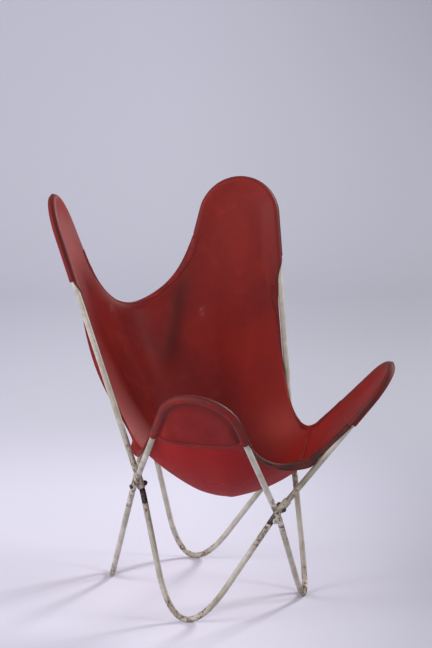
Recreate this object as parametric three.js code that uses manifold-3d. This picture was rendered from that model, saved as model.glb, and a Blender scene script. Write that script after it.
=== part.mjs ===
// A butterfly sling chair: two closed loops of bent steel rod cross at four
// places, and a leather sling hangs from the four ears of the frame.
// Millimetres, +Z up. +X is the sitter's left and +Y the back of the chair.
// The right side mirrors the left, but for the two rods of each crossing: one
// loop passes inside the other, and the inner loop comes apart at four sleeves.
import * as THREE from 'three';
import { mergeVertices } from 'three/addons/utils/BufferGeometryUtils.js';
import Module from 'manifold-3d';

const wasm = await Module();
wasm.setup();

const vec = (x, y, z) => new THREE.Vector3(x, y, z);

// Sizes of the rod and of what joins it
const rodDiameter = 12.7;
const rodRadius = rodDiameter / 2;
const fitGap = 0.3;
const weldGap = 0.6;
const crossingBendRadius = 90;
const footBendLength = 200;
const wornFlatDepth = 0.8;
const buttJointHeight = 36;

const sleeveDiameter = 17.5;
const sleeveLength = 30;
const spigotLength = 20;
const weldedSleeveHeight = 12;

const boltDiameter = 6;
const boltHeadDiameter = 10.4;
const boltHeadHeight = 3.6;
const boltTail = 2.2;
const boltHeight = 9;
const bendClearance = 8;
const nutAcrossFlats = 10;
const nutThickness = 5;

const weldLength = 8.5;
const weldWidth = 8.5;
const weldThickness = 4.6;
const weldDrop = 10.5;

// Places on the rod centre lines: side is out from the middle, rear is towards
// the back, and a height is over the floor
const backEar = { side: 252, rear: 222, height: 878, radius: 86 };
const frontEar = { side: 248, rear: -326, height: 535, radius: 80 };
const sideCrossing = { side: 205, rear: -30, height: 285 };
const frontCrossing = { side: 0, rear: -256, height: 234 };
const backCrossing = { side: 0, rear: 238, height: 319 };
const backFoot = { side: 112, rear: 256 };
const frontFoot = { side: 180, rear: -140 };

// Sizes of the sling
const leatherThickness = 2.4;
const sidePocketLength = 100;
const endPocketLength = 60;
const tuckLength = 45;
const tuckDepth = 14;
const contactAngle = 0.33;
const panelGap = 0.6;
const hemWidth = 17;
const hemThickness = 1.5;
const seamGap = 0.4;

const seatLow = { side: 0, rear: -92, height: 244 };
const backThroatDepth = 290;
const frontThroatDepth = 120;
const backBulge = 22;
const frontBulge = 16;
const backHang = { side: 0, rear: 205, height: 405 };
const frontHang = { side: 0, rear: -205, height: 300 };
const sideHang = { side: 178, rear: -60, height: 306 };
const innerRingShare = 0.5;
const innerRiseShare = 0.07;
const notchStartShare = 0.1;
const throatSpreadShare = 0.6;

// Points of a notch's edge. One beside a leg is given by a length down from the
// ear's bend or up from the crossing, a width out from the rod and a height
// over the ear's plane. One between the legs is given from the crossing
const backNotchStart = { down: 115, out: 13, over: 7 };
const backNotchShoulder = { down: 155, out: 25, over: 5 };
const backNotchTurn = { down: 199, out: 47, over: 13 };
const backNotchMiddle = { side: 0, rear: 59, height: 288 };
const backNotchUnder = { side: 0, rear: 28, height: 206 };
const frontNotchStart = { down: 112, out: -2, over: 26 };
const frontNotchTurn = { down: 169, out: 6, over: 35 };
const frontNotchMiddle = { side: 0, rear: -23, height: 110 };
const sideNotchStart = { down: 120, out: 10, over: 12 };
const sideNotchTurn = { down: 168, out: 10, over: 11 };
const sideNotchLow = { side: 21, rear: -36, height: 75 };
const sideNotchRise = { side: 12, rear: 2, height: 83 };
const sideNotchBend = { up: 102, out: -6, over: 18 };
const sideNotchPinch = { up: 151, out: -23, over: 1 };
const sideNotchSlope = { up: 258, out: -22, over: -16 };
const sideNotchTop = { down: 194, out: -19, over: -10 };

const seamSide = 206;
const seamSideRear = -98;
const seamMiddle = 9;
const seamMiddleRear = -266;

// Counts
const rodSides = 12;
const earBendSteps = 14;
const footBendSteps = 16;
const crossingBendSteps = 2;
const roundSides = 16;
const nutSides = 6;
const arcSpokes = 8;
const legSpokes = 2;
const tuckSpokes = 3;
const notchSpokes = 8;
const slingRings = 6;
const footSearchSteps = 8;

const halfWrap = rodRadius + fitGap + leatherThickness;
const panelHeight = (rodRadius + panelGap + leatherThickness / 2) / Math.cos(contactAngle);
const wallHeight = panelHeight - leatherThickness / 2 - fitGap;

// Colours of the materials
const paint = () => new THREE.MeshStandardMaterial({ color: 0xc9bfae, roughness: 0.5, metalness: 0 });
const steel = () => new THREE.MeshStandardMaterial({ color: 0x2e2a27, roughness: 0.55, metalness: 0.8 });
const leather = () => new THREE.MeshStandardMaterial({ color: 0x7d1f1d, roughness: 0.6, metalness: 0 });

const chair = new THREE.Group();

function addPiece(name, geometry, material) {
  const mesh = new THREE.Mesh(geometry, material);
  mesh.name = name;
  chair.add(mesh);
  return mesh;
}

// Solids that are cut or joined
function toSolid(geometry) {
  const bare = geometry.clone();
  bare.deleteAttribute('normal');
  bare.deleteAttribute('uv');
  const merged = mergeVertices(bare, 1e-5);
  const vertProperties = new Float32Array(merged.attributes.position.array);
  const triVerts = new Uint32Array(merged.index.array);
  return new wasm.Manifold(new wasm.Mesh({ numProp: 3, vertProperties, triVerts }));
}

function fromSolid(solid) {
  const mesh = solid.getMesh();
  const geometry = new THREE.BufferGeometry();
  geometry.setAttribute('position', new THREE.BufferAttribute(new Float32Array(mesh.vertProperties), 3));
  geometry.setIndex(new THREE.BufferAttribute(new Uint32Array(mesh.triVerts), 1));
  geometry.computeVertexNormals();
  return geometry;
}

// A round bar from one point to another, as a geometry in the chair's frame
function barBetween(from, to, radius, sides) {
  const axis = to.clone().sub(from);
  const bar = new THREE.CylinderGeometry(radius, radius, axis.length(), sides);
  const turn = new THREE.Quaternion().setFromUnitVectors(vec(0, 1, 0), axis.clone().normalize());
  const middle = from.clone().add(to).multiplyScalar(1 / 2);
  return bar.applyMatrix4(new THREE.Matrix4().compose(middle, turn, vec(1, 1, 1)));
}

// An arc in space, from one point round a centre to another
class SpaceArc extends THREE.Curve {
  constructor(centre, from, to) {
    super();
    this.centre = centre;
    this.start = from.clone().sub(centre);
    const end = to.clone().sub(centre);
    this.axis = this.start.clone().cross(end).normalize();
    this.angle = this.start.angleTo(end);
  }

  getPoint(share, target = vec(0, 0, 0)) {
    return target.copy(this.start).applyAxisAngle(this.axis, this.angle * share).add(this.centre);
  }
}

// A rod's path is made of pieces, each cut into its own number of steps: a
// straight piece is one step, and a bend has as many as its roundness needs
class RodPath extends THREE.CurvePath {
  constructor() {
    super();
    this.cuts = [0];
  }

  addPiece(curve, steps = 1) {
    const before = this.getLength() || 0;
    this.add(curve);
    this.cacheLengths = null;
    const length = curve.getLength();
    for (let k = 1; k <= steps; k += 1) {
      this.cuts.push(before + (length * k) / steps);
    }
  }

  get steps() {
    return this.cuts.length - 1;
  }

  getUtoTmapping(share) {
    const spot = share * this.steps;
    const k = Math.min(Math.floor(spot), this.steps - 1);
    const length = this.cuts[k] + (this.cuts[k + 1] - this.cuts[k]) * (spot - k);
    return length / this.getLength();
  }

  getSpacedPoints(count) {
    return Array.from({ length: count + 1 }, (_, k) => this.getPointAt(k / count));
  }
}

function rodAlong(path) {
  const outline = [];
  for (let k = 0; k < rodSides; k += 1) {
    const angle = (2 * Math.PI * k) / rodSides;
    outline.push(new THREE.Vector2(rodRadius * Math.cos(angle), rodRadius * Math.sin(angle)));
  }
  const section = new THREE.Shape(outline);
  return new THREE.ExtrudeGeometry(section, { steps: path.steps, extrudePath: path, bevelEnabled: false });
}

const place = (spot, mirror) => vec(mirror * spot.side, spot.rear, spot.height);

const LEFT = 1;
const RIGHT = -1;

// The frame's nodes. A crossing has a centre, and one rod on each side
// of it. At a side crossing the sleeve itself lies on the outer rod and one
// bolt goes through both. In front and behind, the sleeve ends over a weld
const boltedCrossing = {
  spacing: (sleeveDiameter + rodDiameter) / 2 + fitGap,
  sleeveHeight: -boltHeight,
  bendDrop: boltHeight + bendClearance,
  welded: false,
};
const weldedCrossing = {
  spacing: rodDiameter + weldGap,
  sleeveHeight: weldedSleeveHeight,
  bendDrop: 0,
  welded: true,
};
const crossings = {
  side_right: { at: place(sideCrossing, RIGHT), out: vec(-1, 0, 0), ...boltedCrossing },
  side_left: { at: place(sideCrossing, LEFT), out: vec(1, 0, 0), ...boltedCrossing },
  front: { at: place(frontCrossing, LEFT), out: vec(0, -1, 0), ...weldedCrossing },
  back: { at: place(backCrossing, LEFT), out: vec(0, 1, 0), ...weldedCrossing },
};
const ears = {
  back_right: { size: backEar, side: RIGHT, legs: ['side_right', 'back'], inner: true },
  back_left: { size: backEar, side: LEFT, legs: ['side_left', 'back'], inner: false },
  front_right: { size: frontEar, side: RIGHT, legs: ['side_right', 'front'], inner: false },
  front_left: { size: frontEar, side: LEFT, legs: ['side_left', 'front'], inner: true },
};
const feet = {
  back_right: { size: backFoot, side: RIGHT, legs: ['side_right', 'back'], inner: false },
  back_left: { size: backFoot, side: LEFT, legs: ['side_left', 'back'], inner: true },
  front_right: { size: frontFoot, side: RIGHT, legs: ['side_right', 'front'], inner: true },
  front_left: { size: frontFoot, side: LEFT, legs: ['side_left', 'front'], inner: false },
};

// The two rods of a crossing stand apart along the line square to both
for (const [name, crossing] of Object.entries(crossings)) {
  const tops = Object.values(ears)
    .filter((ear) => ear.legs.includes(name))
    .map((ear) => place(ear.size, ear.side).sub(crossing.at));
  const across = tops[0].clone().cross(tops[1]).normalize();
  crossing.across = across.multiplyScalar(Math.sign(across.dot(crossing.out)));
  crossing.outerRod = crossing.at.clone().addScaledVector(crossing.across, crossing.spacing / 2);
  crossing.innerRod = crossing.at.clone().addScaledVector(crossing.across, -crossing.spacing / 2);
}
const rodPoint = (name, inner) => (inner ? crossings[name].innerRod : crossings[name].outerRod);

// An ear is an arc in the plane of its top and its two crossings, with a
// straight leg from each end of the arc
for (const ear of Object.values(ears)) {
  const top = place(ear.size, ear.side);
  const ends = ear.legs.map((name) => rodPoint(name, ear.inner));
  const middle = ends[0].clone().add(ends[1]).multiplyScalar(1 / 2);
  ear.down = middle.sub(top).normalize();
  const square = ends[0].clone().sub(top).cross(ends[1].clone().sub(top)).normalize();
  const inward = vec(-top.x, -top.y, 0);
  ear.normal = square.multiplyScalar(Math.sign(square.dot(inward)));
  ear.centre = top.clone().addScaledVector(ear.down, ear.size.radius);
  ear.legs3 = ends.map((end, k) => {
    const other = ends[1 - k];
    const reach = end.clone().sub(ear.centre);
    const length = reach.length();
    const along = reach.clone().normalize();
    const outward = end.clone().sub(other);
    outward.addScaledVector(along, -outward.dot(along));
    outward.addScaledVector(ear.normal, -outward.dot(ear.normal)).normalize();
    const share = ear.size.radius / length;
    const out = along.clone().multiplyScalar(share)
      .addScaledVector(outward, Math.sqrt(1 - share * share));
    const tangent = ear.centre.clone().addScaledVector(out, ear.size.radius);
    const direction = end.clone().sub(tangent).normalize();
    return { end, out, tangent, direction, length: end.distanceTo(tangent) };
  });
}

const legOf = (ear, name) => ear.legs3[ear.legs.indexOf(name)];
const earAt = (name, inner) => Object.values(ears)
  .find((ear) => ear.legs.includes(name) && ear.inner === inner);

// How far up the leg from its crossing the foot rod ends and the ear rod starts
const jointHeight = (name, inner) => (
  inner ? crossings[name].sleeveHeight + spigotLength : buttJointHeight);

function earPath(ear) {
  const path = new RodPath();
  const [first, second] = ear.legs3;
  const [start, finish] = ear.legs3.map((leg, k) => leg.end.clone()
    .addScaledVector(leg.direction, -jointHeight(ear.legs[k], ear.inner) - fitGap));
  path.addPiece(new THREE.LineCurve3(start, first.tangent));
  path.addPiece(new SpaceArc(ear.centre, first.tangent, second.tangent), earBendSteps);
  path.addPiece(new THREE.LineCurve3(second.tangent, finish));
  return path;
}

for (const [name, ear] of Object.entries(ears)) {
  addPiece(`${name}_ear_rod`, rodAlong(earPath(ear)), paint());
}

// A foot is a V of rod with a wide round bottom
function crossingBend(before, corner, after) {
  const back = before.clone().sub(corner).normalize();
  const ahead = after.clone().sub(corner).normalize();
  const half = back.angleTo(ahead) / 2;
  const cut = crossingBendRadius / Math.tan(half);
  const centre = corner.clone().addScaledVector(
    back.clone().add(ahead).normalize(), crossingBendRadius / Math.sin(half));
  const from = corner.clone().addScaledVector(back, cut);
  const to = corner.clone().addScaledVector(ahead, cut);
  return new SpaceArc(centre, from, to);
}

// The rod comes down an ear's leg, bends a little at the crossing, goes round
// the foot and up the other way
function footPath(foot, cornerHeight) {
  const [tips, corners] = [[], []];
  foot.legs.forEach((name) => {
    const leg = legOf(earAt(name, foot.inner), name);
    tips.push(leg.end.clone().addScaledVector(leg.direction, -jointHeight(name, foot.inner)));
    corners.push(leg.end.clone().addScaledVector(leg.direction, crossings[name].bendDrop));
  });
  foot.corner = vec(foot.side * foot.size.side, foot.size.rear, cornerHeight);
  const [from, to] = corners.map((end) => foot.corner.clone()
    .addScaledVector(end.clone().sub(foot.corner).normalize(), footBendLength));
  const down = crossingBend(tips[0], corners[0], from);
  const up = crossingBend(to, corners[1], tips[1]);
  const path = new RodPath();
  path.addPiece(new THREE.LineCurve3(tips[0], down.getPoint(0)));
  path.addPiece(down, crossingBendSteps);
  path.addPiece(new THREE.LineCurve3(down.getPoint(1), from));
  path.addPiece(new THREE.QuadraticBezierCurve3(from, foot.corner, to), footBendSteps);
  path.addPiece(new THREE.LineCurve3(to, up.getPoint(0)));
  path.addPiece(up, crossingBendSteps);
  path.addPiece(new THREE.LineCurve3(up.getPoint(1), tips[1]));
  return path;
}

// The V's corner is set so low that its worn underside is level with the floor
function settledFoot(foot) {
  let cornerHeight = 0;
  let rod = null;
  for (let k = 0; k < footSearchSteps; k += 1) {
    rod = rodAlong(footPath(foot, cornerHeight));
    rod.computeBoundingBox();
    cornerHeight -= wornFlatDepth + rod.boundingBox.min.z;
  }
  return rod;
}

// Each crossing has a sleeve on its inner rod, and a bolt square to both rods
const fastenings = Object.keys(crossings).map((name) => {
  const crossing = crossings[name];
  const leg = legOf(earAt(name, true), name);
  const up = leg.direction.clone().negate();
  const base = leg.end.clone().addScaledVector(up, crossing.sleeveHeight);
  const centre = base.clone().addScaledVector(up, boltHeight);
  const headSeat = crossing.welded ? sleeveDiameter / 2 + fitGap : crossing.spacing + rodRadius + weldGap;
  const axis = crossing.across.clone();
  if (crossing.welded) {
    axis.addScaledVector(up, -axis.dot(up)).normalize();
  }
  return { name, up, base, centre, axis, headSeat };
});
const boltHole = ({ centre, axis, headSeat }) => toSolid(barBetween(
  centre.clone().addScaledVector(axis, -sleeveDiameter),
  centre.clone().addScaledVector(axis, headSeat + boltHeadHeight),
  boltDiameter / 2 + fitGap, roundSides));

const floorCutter = toSolid(new THREE.BoxGeometry(
  frontEar.side * 4, backEar.height * 4, footBendLength)
  .translate(0, 0, -footBendLength / 2));

for (const [name, foot] of Object.entries(feet)) {
  let solid = toSolid(settledFoot(foot)).subtract(floorCutter);
  for (const fastening of fastenings) {
    const throughIt = foot.legs.includes(fastening.name);
    if (throughIt && (foot.inner || !crossings[fastening.name].welded)) {
      solid = solid.subtract(boltHole(fastening));
    }
  }
  addPiece(`${name}_foot_rod`, fromSolid(solid), paint());
}

// A ring turned about its own Z, for sleeves and nuts
function ring(outer, inner, height, sides) {
  return new THREE.LatheGeometry([
    new THREE.Vector2(inner, 0),
    new THREE.Vector2(outer, 0),
    new THREE.Vector2(outer, height),
    new THREE.Vector2(inner, height),
    new THREE.Vector2(inner, 0),
  ], sides);
}

function standOn(geometry, base, up) {
  const turn = new THREE.Quaternion().setFromUnitVectors(vec(0, 1, 0), up);
  return geometry.applyMatrix4(new THREE.Matrix4().compose(base, turn, vec(1, 1, 1)));
}

function boltGeometry(seat) {
  const shank = boltDiameter / 2;
  const head = boltHeadDiameter / 2;
  const tip = -sleeveDiameter / 2 - fitGap * 2 - nutThickness - boltTail;
  return new THREE.LatheGeometry([
    new THREE.Vector2(0, tip),
    new THREE.Vector2(shank, tip),
    new THREE.Vector2(shank, seat),
    new THREE.Vector2(head, seat),
    new THREE.Vector2(head, seat + boltHeadHeight / 2),
    new THREE.Vector2(shank, seat + boltHeadHeight),
    new THREE.Vector2(0, seat + boltHeadHeight),
  ], roundSides);
}

function nutGeometry() {
  const reach = nutAcrossFlats / 2 / Math.cos(Math.PI / nutSides);
  const corners = Array.from({ length: nutSides }, (_, k) => new THREE.Vector2(reach, 0)
    .rotateAround(new THREE.Vector2(0, 0), (k * 2 * Math.PI) / nutSides));
  const outline = new THREE.Shape(corners);
  outline.holes.push(new THREE.Path().absarc(0, 0, boltDiameter / 2 + fitGap, 0, 2 * Math.PI));
  return new THREE.ExtrudeGeometry(outline, { depth: nutThickness, bevelEnabled: false, curveSegments: roundSides })
    .rotateX(-Math.PI / 2);
}

for (const fastening of fastenings) {
  const { name, up, base, centre, axis, headSeat } = fastening;
  const sleeve = standOn(
    ring(sleeveDiameter / 2, rodRadius + fitGap, sleeveLength, roundSides), base, up);
  addPiece(`${name}_sleeve`, fromSolid(toSolid(sleeve).subtract(boltHole(fastening))), paint());
  addPiece(`${name}_bolt`, standOn(boltGeometry(headSeat), centre, axis), steel());
  const nutFace = sleeveDiameter / 2 + fitGap * 2 + nutThickness;
  const nutBase = centre.clone().addScaledVector(axis, -nutFace);
  addPiece(`${name}_nut`, standOn(nutGeometry(), nutBase, axis), steel());
}

// A weld bead fills the lower crotch of a welded crossing, between its two rods
for (const [name, crossing] of Object.entries(crossings).filter(([, one]) => one.welded)) {
  const legs = [true, false].map((inner) => {
    const foot = Object.values(feet).find((one) => one.inner === inner && one.legs.includes(name));
    return foot.corner.clone().sub(rodPoint(name, inner)).normalize();
  });
  const down = legs[0].clone().add(legs[1]).normalize();
  const turn = new THREE.Matrix4().makeBasis(
    down.clone().cross(crossing.across).normalize(), down,
    down.clone().cross(crossing.across).normalize().cross(down));
  const bead = new THREE.SphereGeometry(1, roundSides, roundSides / 2)
    .scale(weldWidth, weldLength, weldThickness)
    .applyMatrix4(turn)
    .translate(...crossing.at.clone().addScaledVector(down, weldDrop).toArray());
  let solid = toSolid(bead);
  [true, false].forEach((inner, k) => {
    const from = rodPoint(name, inner).clone().addScaledVector(legs[k], -weldLength);
    const to = from.clone().addScaledVector(legs[k], sleeveLength * 2);
    solid = solid.subtract(toSolid(barBetween(from, to, rodRadius + fitGap, roundSides)));
  });
  addPiece(`${name}_weld`, fromSolid(solid), paint());
}

// The sling. Its rim goes round the four ears and along the four notches
// between them, and a spoke of cloth runs from the seat's low point to each
// point of the rim. A spoke is a curve with two middle points: one out in the
// throat below an ear, or in the hang behind a notch, and one near the seat.
// Its last stretch, as wide as a hem, lies over the rod on an ear
const low = place(seatLow, LEFT);
const order = [
  { ear: 'front_left', from: 'front', to: 'side_left', throat: frontThroatDepth, lift: -frontBulge },
  { ear: 'back_left', from: 'side_left', to: 'back', throat: backThroatDepth, lift: -backBulge },
  { ear: 'back_right', from: 'back', to: 'side_right', throat: backThroatDepth, lift: -backBulge },
  { ear: 'front_right', from: 'side_right', to: 'front', throat: frontThroatDepth, lift: -frontBulge },
];
const atEnd = (end, ...spots) => spots.map((spot) => ({ ...spot, end }));
const lying = (...spots) => spots.map((spot) => ({ ...spot, lies: true }));
const bothWays = (half, middle) => [...atEnd(0, ...half), middle, ...atEnd(1, ...[...half].reverse())];
const sideSpots = (front, back) => [
  ...atEnd(front, ...lying(sideNotchStart, sideNotchTurn)), sideNotchLow, sideNotchRise,
  ...atEnd(back, sideNotchBend, sideNotchPinch, sideNotchSlope, sideNotchTop),
];
const notches = {
  side_left: { hang: sideHang, spots: sideSpots(0, 1), mirror: LEFT },
  back: {
    hang: backHang,
    spots: bothWays(
      lying(backNotchStart, backNotchShoulder, backNotchTurn), { ...backNotchMiddle, under: backNotchUnder }),
    mirror: LEFT,
  },
  side_right: { hang: sideHang, spots: sideSpots(1, 0).reverse(), mirror: RIGHT },
  front: { hang: frontHang, spots: bothWays([frontNotchStart, frontNotchTurn], frontNotchMiddle), mirror: LEFT },
};
const pocketLength = (crossing) => (crossings[crossing].welded ? endPocketLength : sidePocketLength);
const tuckOf = (ear, crossing) => (ear.size === backEar && !crossings[crossing].welded ? tuckLength : 0);

// Where the leather lies, across a rod: flat outside the rod's middle, then
// straight down off the rod towards the ear's middle
function overRod(out) {
  const inside = Math.min(out, 0);
  return {
    out: out - inside + inside * Math.cos(contactAngle),
    over: panelHeight + inside * Math.sin(contactAngle),
  };
}

// A point of an ear's outline, out from the rod's centre line and over the
// ear's plane: down a leg by a length, or round the bend by a share
const onLeg = (ear, leg, down, out, over) => leg.tangent.clone()
  .addScaledVector(leg.direction, down).addScaledVector(leg.out, out).addScaledVector(ear.normal, over);

function onBend(ear, from, to, share, out, over) {
  const arc = new SpaceArc(ear.centre, from.tangent, to.tangent);
  const spoke = arc.getPoint(share).sub(ear.centre).normalize();
  return ear.centre.clone().addScaledVector(spoke, ear.size.radius + out)
    .addScaledVector(ear.normal, over);
}

// The rim lies outside the rod as far as the pocket goes. On a back ear's leg
// that runs to a side crossing it then tucks inside the rod
function rimOut(ear, crossing, down) {
  const [pocket, tuck] = [pocketLength(crossing), tuckOf(ear, crossing)];
  const tucked = tuck ? THREE.MathUtils.smoothstep(down, pocket, pocket + tuck) : 0;
  return halfWrap - (halfWrap + tuckDepth) * tucked;
}

// The middle point of an ear's spoke lies in a line across the ear's throat
function throatPoint({ ear: name, throat, lift }, end) {
  const ear = ears[name];
  const across = ear.down.clone().cross(ear.normal);
  return ear.centre.clone().addScaledVector(ear.down, throat).addScaledVector(ear.normal, lift)
    .addScaledVector(across, end.clone().sub(ear.centre).dot(across) * throatSpreadShare);
}

// The last rows of the cloth, in from the rim: over an ear's rod, and along a notch
const rodBand = [halfWrap + hemWidth / 2, halfWrap, halfWrap / 2, 0];
const notchBand = [hemWidth * 2, hemWidth * 3 / 2, hemWidth, 0];
const spokes = [];

function addSpoke(outer, band) {
  const inner = low.clone().lerp(outer, innerRingShare)
    .setZ(low.z + (outer.z - low.z) * innerRiseShare);
  spokes.push({ curve: new THREE.CubicBezierCurve3(low, inner, outer, band[0]), band });
}

// The band of a leg's spoke, at a length down the leg, with the rim out by a width
const legBand = (ear, leg, down, rim) => rodBand.map((width) => {
  const { out, over } = overRod(rim - width);
  return onLeg(ear, leg, down, out, over);
});

// A point along straight lines from corner to corner
function alongLines(points, share) {
  const far = share * (points.length - 1);
  const k = Math.min(Math.floor(far), points.length - 2);
  return points[k].clone().lerp(points[k + 1], far - k);
}

// Where a notch's spot is: beside a leg, or given from the crossing
function spotPlace(spot, ends, crossing, mirror) {
  if (spot.out === undefined) {
    return crossing.at.clone().add(place(spot, mirror));
  }
  const { ear, leg } = ends[spot.end];
  return onLeg(ear, leg, spot.down ?? leg.length - spot.up, spot.out, spot.over);
}

// The band along a notch between two legs: its rim passes the notch's spots.
// Where the cloth lies on a leg the band's other rows are over that leg
function notchBands(notch, crossing, ends) {
  const { mirror, spots } = notch;
  const hang = place(notch.hang, mirror);
  const columns = spots.map((spot) => {
    const rim = spotPlace(spot, ends, crossing, mirror);
    if (spot.lies) {
      const { ear, leg } = ends[spot.end];
      const [inner, ridge] = legBand(ear, leg, spot.down, halfWrap);
      const share = Math.min(hemWidth / rim.distanceTo(ridge), 1 / 2);
      return [inner, ridge, rim.clone().lerp(ridge, share), rim];
    }
    if (spot.under) {
      const ridge = spotPlace(spot.under, ends, crossing, mirror);
      const inward = hang.clone().sub(ridge).normalize();
      const hem = rim.clone().lerp(ridge, hemWidth / rim.distanceTo(ridge));
      return [ridge.clone().addScaledVector(inward, hemWidth / 2), ridge, hem, rim];
    }
    const inward = hang.clone().sub(rim).normalize();
    return notchBand.map((width) => rim.clone().addScaledVector(inward, width));
  });
  const [first, last] = ends.map(({ ear, leg, crossing, down }) => (
    legBand(ear, leg, down, rimOut(ear, crossing, down))));
  const all = [first, ...columns, last];
  const rows = rodBand.map((_, k) => all.map((column) => column[k]));
  const smooth = rows.slice(2).map((points) => new THREE.CatmullRomCurve3(points));
  return (share) => [
    ...rows.slice(0, 2).map((points) => alongLines(points, share)),
    ...smooth.map((curve) => curve.getPoint(share)),
  ];
}

order.forEach((stop, k) => {
  const ear = ears[stop.ear];
  const legSpokesOf = (crossing) => {
    const steps = (count, start, length) => Array.from({ length: count }, (_, step) => start + (length * step) / count);
    const [pocket, tuck] = [pocketLength(crossing), tuckOf(ear, crossing)];
    return [...steps(legSpokes, 0, pocket), ...steps(tuck ? tuckSpokes : 0, pocket, tuck), pocket + tuck]
      .map((down) => legBand(ear, legOf(ear, crossing), down, rimOut(ear, crossing, down)));
  };
  const addEarSpoke = (band) => addSpoke(throatPoint(stop, band[0]), band);
  legSpokesOf(stop.from).reverse().forEach(addEarSpoke);
  for (let step = 1; step < arcSpokes; step += 1) {
    addEarSpoke(rodBand.map((width) => {
      const { out, over } = overRod(halfWrap - width);
      return onBend(ear, legOf(ear, stop.from), legOf(ear, stop.to), step / arcSpokes, out, over);
    }));
  }
  legSpokesOf(stop.to).forEach(addEarSpoke);

  const next = order[(k + 1) % order.length];
  const notch = notches[stop.to];
  const bandAt = notchBands(notch, crossings[stop.to], [[ear, stop.to], [ears[next.ear], next.from]].map(([one, crossing]) => (
    { ear: one, leg: legOf(one, crossing), crossing, down: pocketLength(crossing) + tuckOf(one, crossing) })));
  notch.first = spokes.length - 1;
  for (let step = 1; step < notchSpokes; step += 1) {
    const share = step / notchSpokes;
    const near = THREE.MathUtils.smoothstep(share, notchStartShare, 1 / 2);
    const far = THREE.MathUtils.smoothstep(share, 1 / 2, 1 - notchStartShare);
    const band = bandAt(share);
    const outer = throatPoint(stop, band[0]).lerp(place(notch.hang, notch.mirror), near)
      .lerp(throatPoint(next, band[0]), far);
    addSpoke(outer, band);
  }
});

// The way each point of a sheet faces
function facing(points, faces) {
  const surface = new THREE.BufferGeometry().setFromPoints(points);
  surface.setIndex(faces);
  surface.computeVertexNormals();
  const { normal } = surface.attributes;
  return points.map((_, k) => vec(normal.getX(k), normal.getY(k), normal.getZ(k)));
}

// A sheet of leather from rows of points: its two faces stand off the rows by
// half its thickness and may lie over them by a lift, and walls close its edges
function sheetOf(points, normals, faces, edge, thickness, lift) {
  const count = points.length;
  const both = [1, -1].flatMap((side) => points.map((point, k) => (
    point.clone().addScaledVector(normals[k], lift + (side * thickness) / 2))));
  const index = [...faces];
  for (let k = 0; k < faces.length; k += 3) {
    index.push(faces[k] + count, faces[k + 2] + count, faces[k + 1] + count);
  }
  edge.forEach((here, k) => {
    const there = edge[(k + 1) % edge.length];
    index.push(here, here + count, there, there, here + count, there + count);
  });
  const sheet = new THREE.BufferGeometry().setFromPoints(both);
  sheet.setIndex(index);
  sheet.computeVertexNormals();
  return sheet;
}

// The sling's rows: rings of points out to the band, and then the band's own
const slingRows = [];
for (let step = 1; step < slingRings; step += 1) {
  slingRows.push(spokes.map(({ curve }) => curve.getPoint(step / slingRings)));
}
rodBand.forEach((_, k) => slingRows.push(spokes.map(({ band }) => band[k])));

// Two triangles for a four-cornered cell, split along its shorter diagonal
function square(points, a, b, c, d) {
  return points[a].distanceTo(points[d]) < points[b].distanceTo(points[c])
    ? [a, c, d, a, d, b]
    : [a, c, b, b, c, d];
}

const slingPoints = [low.clone(), ...slingRows.flat()];
const slingIndex = (row, k) => 1 + row * spokes.length + (k % spokes.length);
const slingCell = (row, k) => (row === 0
  ? [0, slingIndex(0, k), slingIndex(0, k + 1)]
  : square(slingPoints, slingIndex(row - 1, k), slingIndex(row - 1, k + 1), slingIndex(row, k), slingIndex(row, k + 1)));
const slingFaces = slingRows.flatMap((_, row) => spokes.flatMap((__, k) => slingCell(row, k)));
const slingNormals = facing(slingPoints, slingFaces);
const slingEdge = spokes.map((_, k) => slingIndex(slingRows.length - 1, k));

// A seam runs from each side notch to the front notch, and parts a front
// panel from the main one
function seamPrism(mirror, gap) {
  const far = backEar.height;
  const along = new THREE.Vector2(seamSide - seamMiddle, seamSideRear - seamMiddleRear).normalize();
  const shift = new THREE.Vector2(along.y, -along.x).multiplyScalar(gap);
  const outline = [
    [seamMiddle, seamMiddleRear], [seamSide, seamSideRear], [seamSide + far, seamSideRear],
    [seamSide + far, -far], [seamMiddle, -far],
  ].map(([x, y]) => new THREE.Vector2(mirror * (x + shift.x), y + shift.y));
  const prism = new THREE.ExtrudeGeometry(new THREE.Shape(outline), { depth: far * 2, bevelEnabled: false });
  return toSolid(prism.translate(0, 0, -far / 2));
}

const sling = toSolid(sheetOf(slingPoints, slingNormals, slingFaces, slingEdge, leatherThickness, 0));
const whole = [LEFT, RIGHT].reduce((solid, mirror) => solid.subtract(seamPrism(mirror, 0)), sling);
addPiece('main_panel', fromSolid(whole), leather());
addPiece('front_left_panel', fromSolid(sling.intersect(seamPrism(LEFT, seamGap))), leather());
addPiece('front_right_panel', fromSolid(sling.intersect(seamPrism(RIGHT, seamGap))), leather());

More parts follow.
